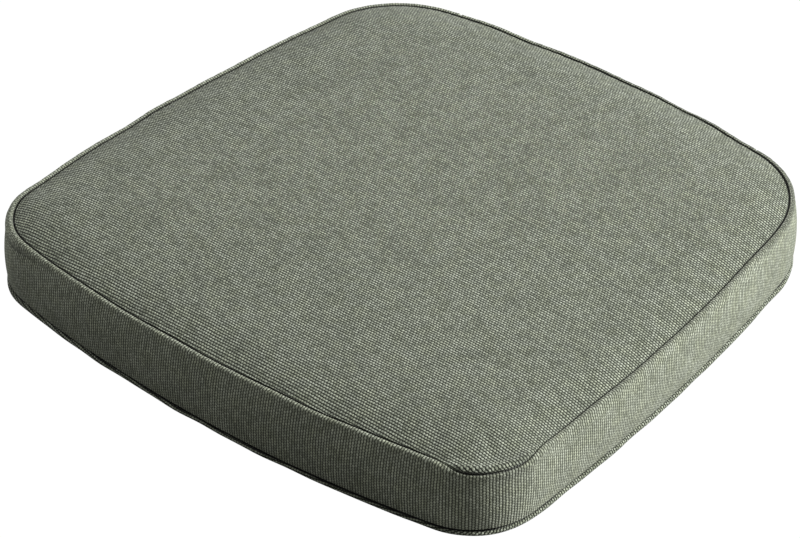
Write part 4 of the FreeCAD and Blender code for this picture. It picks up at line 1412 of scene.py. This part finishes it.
@dataclass
class Zip:
    """The concealed zip: tapes, coil halves, stops, slider and pull tab."""

    form: Form
    pitch: float = 1.55 * MM
    wire: float = 0.30 * MM
    stitch_pitch: float = 3.1 * MM
    stitch_long: float = 2.5 * MM
    bevel: float = 0.16 * MM
    coil_inset: float = 0.3 * MM
    coil_depth: float = 2.0 * MM
    coil_lean: float = 0.16

    def back_line(self, half: float, outward: float, high: float, steps: int = 200) -> np.ndarray:
        """Points along the slider's own arc, which the loose cover beside it only roughly follows.

        Args:
            half: how far the line reaches to each side.
            outward: distance outside the back's arc, below zero inside it.
            high: height.
            steps: how many points.

        Returns:
            Points.
        """
        run = np.linspace(-half, half, steps)
        return np.c_[self.form.outline.back_arc(run, outward), np.full(steps, high)]

    def surface_line(self, half: float, high: float, proud: float, steps: int = 160) -> np.ndarray:
        """Points on the strips' outer face at a height."""
        form = self.form
        run = np.linspace(-half, half, steps)
        q = np.full_like(run, form.quarter + form.crest - form.edge_bend - high)
        return form.place(q, run, form.relief(q, run) + proud)

    def coils(self, finish: bpy.types.Material) -> None:
        """The two coil halves, their loops half a pitch apart."""
        for side, phase in (("upper", 0.0), ("lower", 0.5)):
            node = "zip_coil_" + side
            low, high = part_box(node)
            middle = (low.z + high.z) / 2
            line = self.back_line(high.x - 1 * MM, -self.coil_inset - self.coil_depth / 2, middle)
            slip = line[1:] - line[:-1]
            line = line + np.vstack([slip, slip[-1:]]) / np.linalg.norm(slip[0]) * self.pitch * phase
            sizes = {"Pitch": self.pitch, "Wide": high.z - low.z - 2 * self.wire, "Wire": self.wire,
                     "Deep": self.coil_depth - 2 * self.wire, "Lean": self.coil_lean}
            dress(in_row("coil_" + side, Shape.LOOP, line, sizes, finish), "pad", None, "zip_coil", node)

    def topstitch(self, finish: bpy.types.Material) -> None:
        """A row of stitches on each strip, holding the tape and the hem."""
        for side in ("upper", "lower"):
            node = "zip_stitch_" + side
            low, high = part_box(node)
            line = self.surface_line(high.x - 1 * MM, (low.z + high.z) / 2, 0.05 * MM)
            sizes = {"Pitch": self.stitch_pitch, "Long": self.stitch_long, "Wide": 0.55 * MM,
                     "Deep": 0.5 * MM, "Lean": 0.03}
            row = in_row("topstitch_" + side, Shape.STITCH, line, sizes, finish)
            dress(row, "pad", None, "thread", node)

    def rounded(self, node: str, name: str) -> bpy.types.Object:
        """A copy of a metal part with its edges rounded.

        Args:
            node: the CAD node.
            name: the new piece's name.

        Returns:
            The piece.
        """
        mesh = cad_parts[node].data.copy()
        work = bmesh.new()
        work.from_mesh(mesh)
        bmesh.ops.remove_doubles(work, verts=work.verts, dist=0.004 * MM)
        bmesh.ops.dissolve_limit(work, angle_limit=math.radians(2), verts=work.verts, edges=work.edges)
        work.to_mesh(mesh)
        work.free()
        mesh.name = name
        piece = link(name, mesh)
        mesh.shade_smooth()
        round_over = piece.modifiers.new("edges", "BEVEL")
        round_over.width, round_over.segments = self.bevel, 2
        round_over.limit_method, round_over.angle_limit = "ANGLE", math.radians(28)
        round_over.harden_normals = True
        return settle(piece)

    def make(self) -> None:
        """Build and dress the coils, the topstitching, the slider, the pull tab and the stops."""
        nylon = HardWare("nylon_coil", (0.115, 0.122, 0.095, 1), (0.24, 0.25, 0.2, 1), 0.0, 0.42, 0.5)
        self.coils(nylon.make())
        self.topstitch(SewingThread().make())
        zinc = HardWare("enamelled_zinc", (0.13, 0.135, 0.115, 1), (0.55, 0.54, 0.5, 1), 0.55, 0.34, 0.7)
        metal = zinc.make()
        for node, name, body in (
            ("zip_slider", "slider_metal", "slider"),
            ("zip_pull_tab", "pull_tab_metal", "pull"),
            ("zip_top_stops", "top_stops_metal", "pad"),
            ("zip_bottom_stop", "bottom_stop_metal", "pad"),
        ):
            dress(self.rounded(node, name), body, metal, "zip_metal", node)


def finish_nodes() -> None:
    """Give the CAD nodes that still show, most of them inside, their finishes."""
    thread = SewingThread("seam_thread").make()
    tape = FineWeave("zip_tape", (0.16, 0.17, 0.13, 1), (0.09, 0.1, 0.075, 1), 0.6 * MM).make()
    lining, wadding = lining_weave("base_lining"), wadding_fill("base_wadding")
    foam = LooseFill("seat_foam", (0.84, 0.8, 0.66, 1), (0.66, 0.6, 0.45, 1), 900.0, 0.4 * MM).make()
    label = FineWeave("label_satin", (0.86, 0.86, 0.84, 1), (0.76, 0.76, 0.74, 1), 0.3 * MM, 0.5).make()
    for material, nodes in (
        (thread, ("top_seam_thread", "bottom_seam_thread",
                  "band_join_thread_left", "band_join_thread_right")),
        (tape, ("zip_tape_upper", "zip_tape_lower")),
        (lining, ("liner_base",)),
        (wadding, ("wadding_bottom",)),
        (foam, ("foam_core",)),
        (label, ("care_label",)),
    ):
        for node in nodes:
            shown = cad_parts[node]
            if not shown.material_slots:
                shown.data.materials.append(material)
            for place in shown.material_slots:
                place.material = material
            LOG.info("%s finished as %s", node, material.name)


@dataclass
class Studio:
    """Floor, soft lights and the camera."""

    pitch: float = 36.492
    azimuth: float = -39.201
    roll: float = 0.605
    target: tuple[float, float, float] = (-10.24 * MM, -4.66 * MM, 0.0)
    distance: float = 2689 * MM
    focal_pixels: float = 4391.0
    image_width: int = 800
    sensor: float = 36.0

    def build(self) -> None:
        """Make the camera, the floor and the lights."""
        self.camera()
        self.floor()
        self.lights()

    def camera(self) -> None:
        """A long lens looking down over the near corner."""
        pitch, azimuth, roll = (math.radians(v) for v in (self.pitch, self.azimuth, self.roll))
        ahead = Vector((math.cos(pitch) * math.sin(azimuth), math.cos(pitch) * math.cos(azimuth),
                        -math.sin(pitch)))
        right = Vector((math.cos(azimuth), -math.sin(azimuth), 0.0))
        up = right.cross(ahead)
        side = right * math.cos(roll) + up * math.sin(roll)
        top = up * math.cos(roll) - right * math.sin(roll)
        lens = bpy.data.cameras.new("camera")
        lens.sensor_fit = "HORIZONTAL"
        lens.sensor_width = self.sensor
        lens.lens = self.focal_pixels / self.image_width * self.sensor
        lens.clip_end = 50
        eye = link("camera", lens)
        spot = Vector(self.target) - ahead * self.distance
        turn = Matrix((side, top, -ahead)).transposed()
        eye.matrix_world = Matrix.Translation(spot) @ turn.to_4x4()
        bpy.context.scene.camera = eye

    def floor(self) -> None:
        """A plain pale floor, seen bright, with little light thrown back."""
        reach, mesh = 6.0, bpy.data.meshes.new("floor")
        corners = [(-reach, -reach, 0), (reach, -reach, 0), (reach, reach, 0), (-reach, reach, 0)]
        mesh.from_pydata(corners, [], [(0, 1, 2, 3)])
        floor = link("floor", mesh)
        material = bpy.data.materials.new("floor_paper")
        material.use_nodes = True
        tree = Tree(material.node_tree)
        clouds = tree.noise(tree.spot(), 3.0, 2.0).outputs["Fac"]
        tone = tree.blend(clouds, (0.27, 0.27, 0.265, 1), (0.31, 0.31, 0.305, 1))
        paper = tree.out("ShaderNodeBsdfDiffuse", {"Color": tone})
        glow = tree.out("ShaderNodeEmission", {"Color": (1, 1, 1, 1), "Strength": 1.06})
        share = tree.math("MULTIPLY", tree.add("ShaderNodeLightPath").outputs["Is Camera Ray"], 0.96)
        both = tree.out("ShaderNodeMixShader", {0: share, 1: paper, 2: glow})
        tree.add("ShaderNodeOutputMaterial", {"Surface": both})
        mesh.materials.append(material)

    def lights(self) -> None:
        """A broad key from the right, and weak fill all round."""
        world = bpy.data.worlds.new("studio")
        world.use_nodes = True
        sky = world.node_tree.nodes["Background"].inputs
        sky[0].default_value, sky[1].default_value = (1.0, 1.0, 1.0, 1.0), 0.19
        bpy.context.scene.world = world
        for name, spot, size, power in (
            ("key", (1.92, 1.48, 1.22), 0.8, 119.0),
            ("overhead", (-0.2, 0.6, 2.6), 1.8, 15.0),
            ("left_fill", (-2.5, -0.2, 0.9), 1.2, 19.0),
        ):
            lamp = bpy.data.lights.new(name, "AREA")
            lamp.shape, lamp.size, lamp.energy = "DISK", size, power
            holder = link(name, lamp)
            holder.location = spot
            holder.rotation_euler = Vector(spot).to_track_quat("Z", "Y").to_euler()
        bpy.context.scene.view_settings.view_transform = "Standard"


def main() -> None:
    """Build every piece in order and report it."""
    logging.basicConfig(level=logging.INFO, format="%(name)s: %(message)s")
    low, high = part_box("boxing_band")
    outline = Outline(width=high.x - low.x, depth=PAD_DEPTH, eases=EASES)
    slot_low, slot_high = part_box("zip_strip_lower")[1].z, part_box("zip_strip_upper")[0].z
    form = Form(outline, crest=CREST_HEIGHT, zip_half=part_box("zip_strip_upper")[1].x)
    form.swell.run_cloth(form)
    LOG.info("cloth run: push up to %.2f mm", float(np.max(form.swell.grid)) * 1000)
    Cover(form, cloth=COVER_THICK).make(slot_low, slot_high)
    Filling(form, foam_top=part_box("foam_core")[1].z).make()
    Zip(form).make()
    finish_nodes()
    Studio().build()


if __name__ == "__main__":
    main()
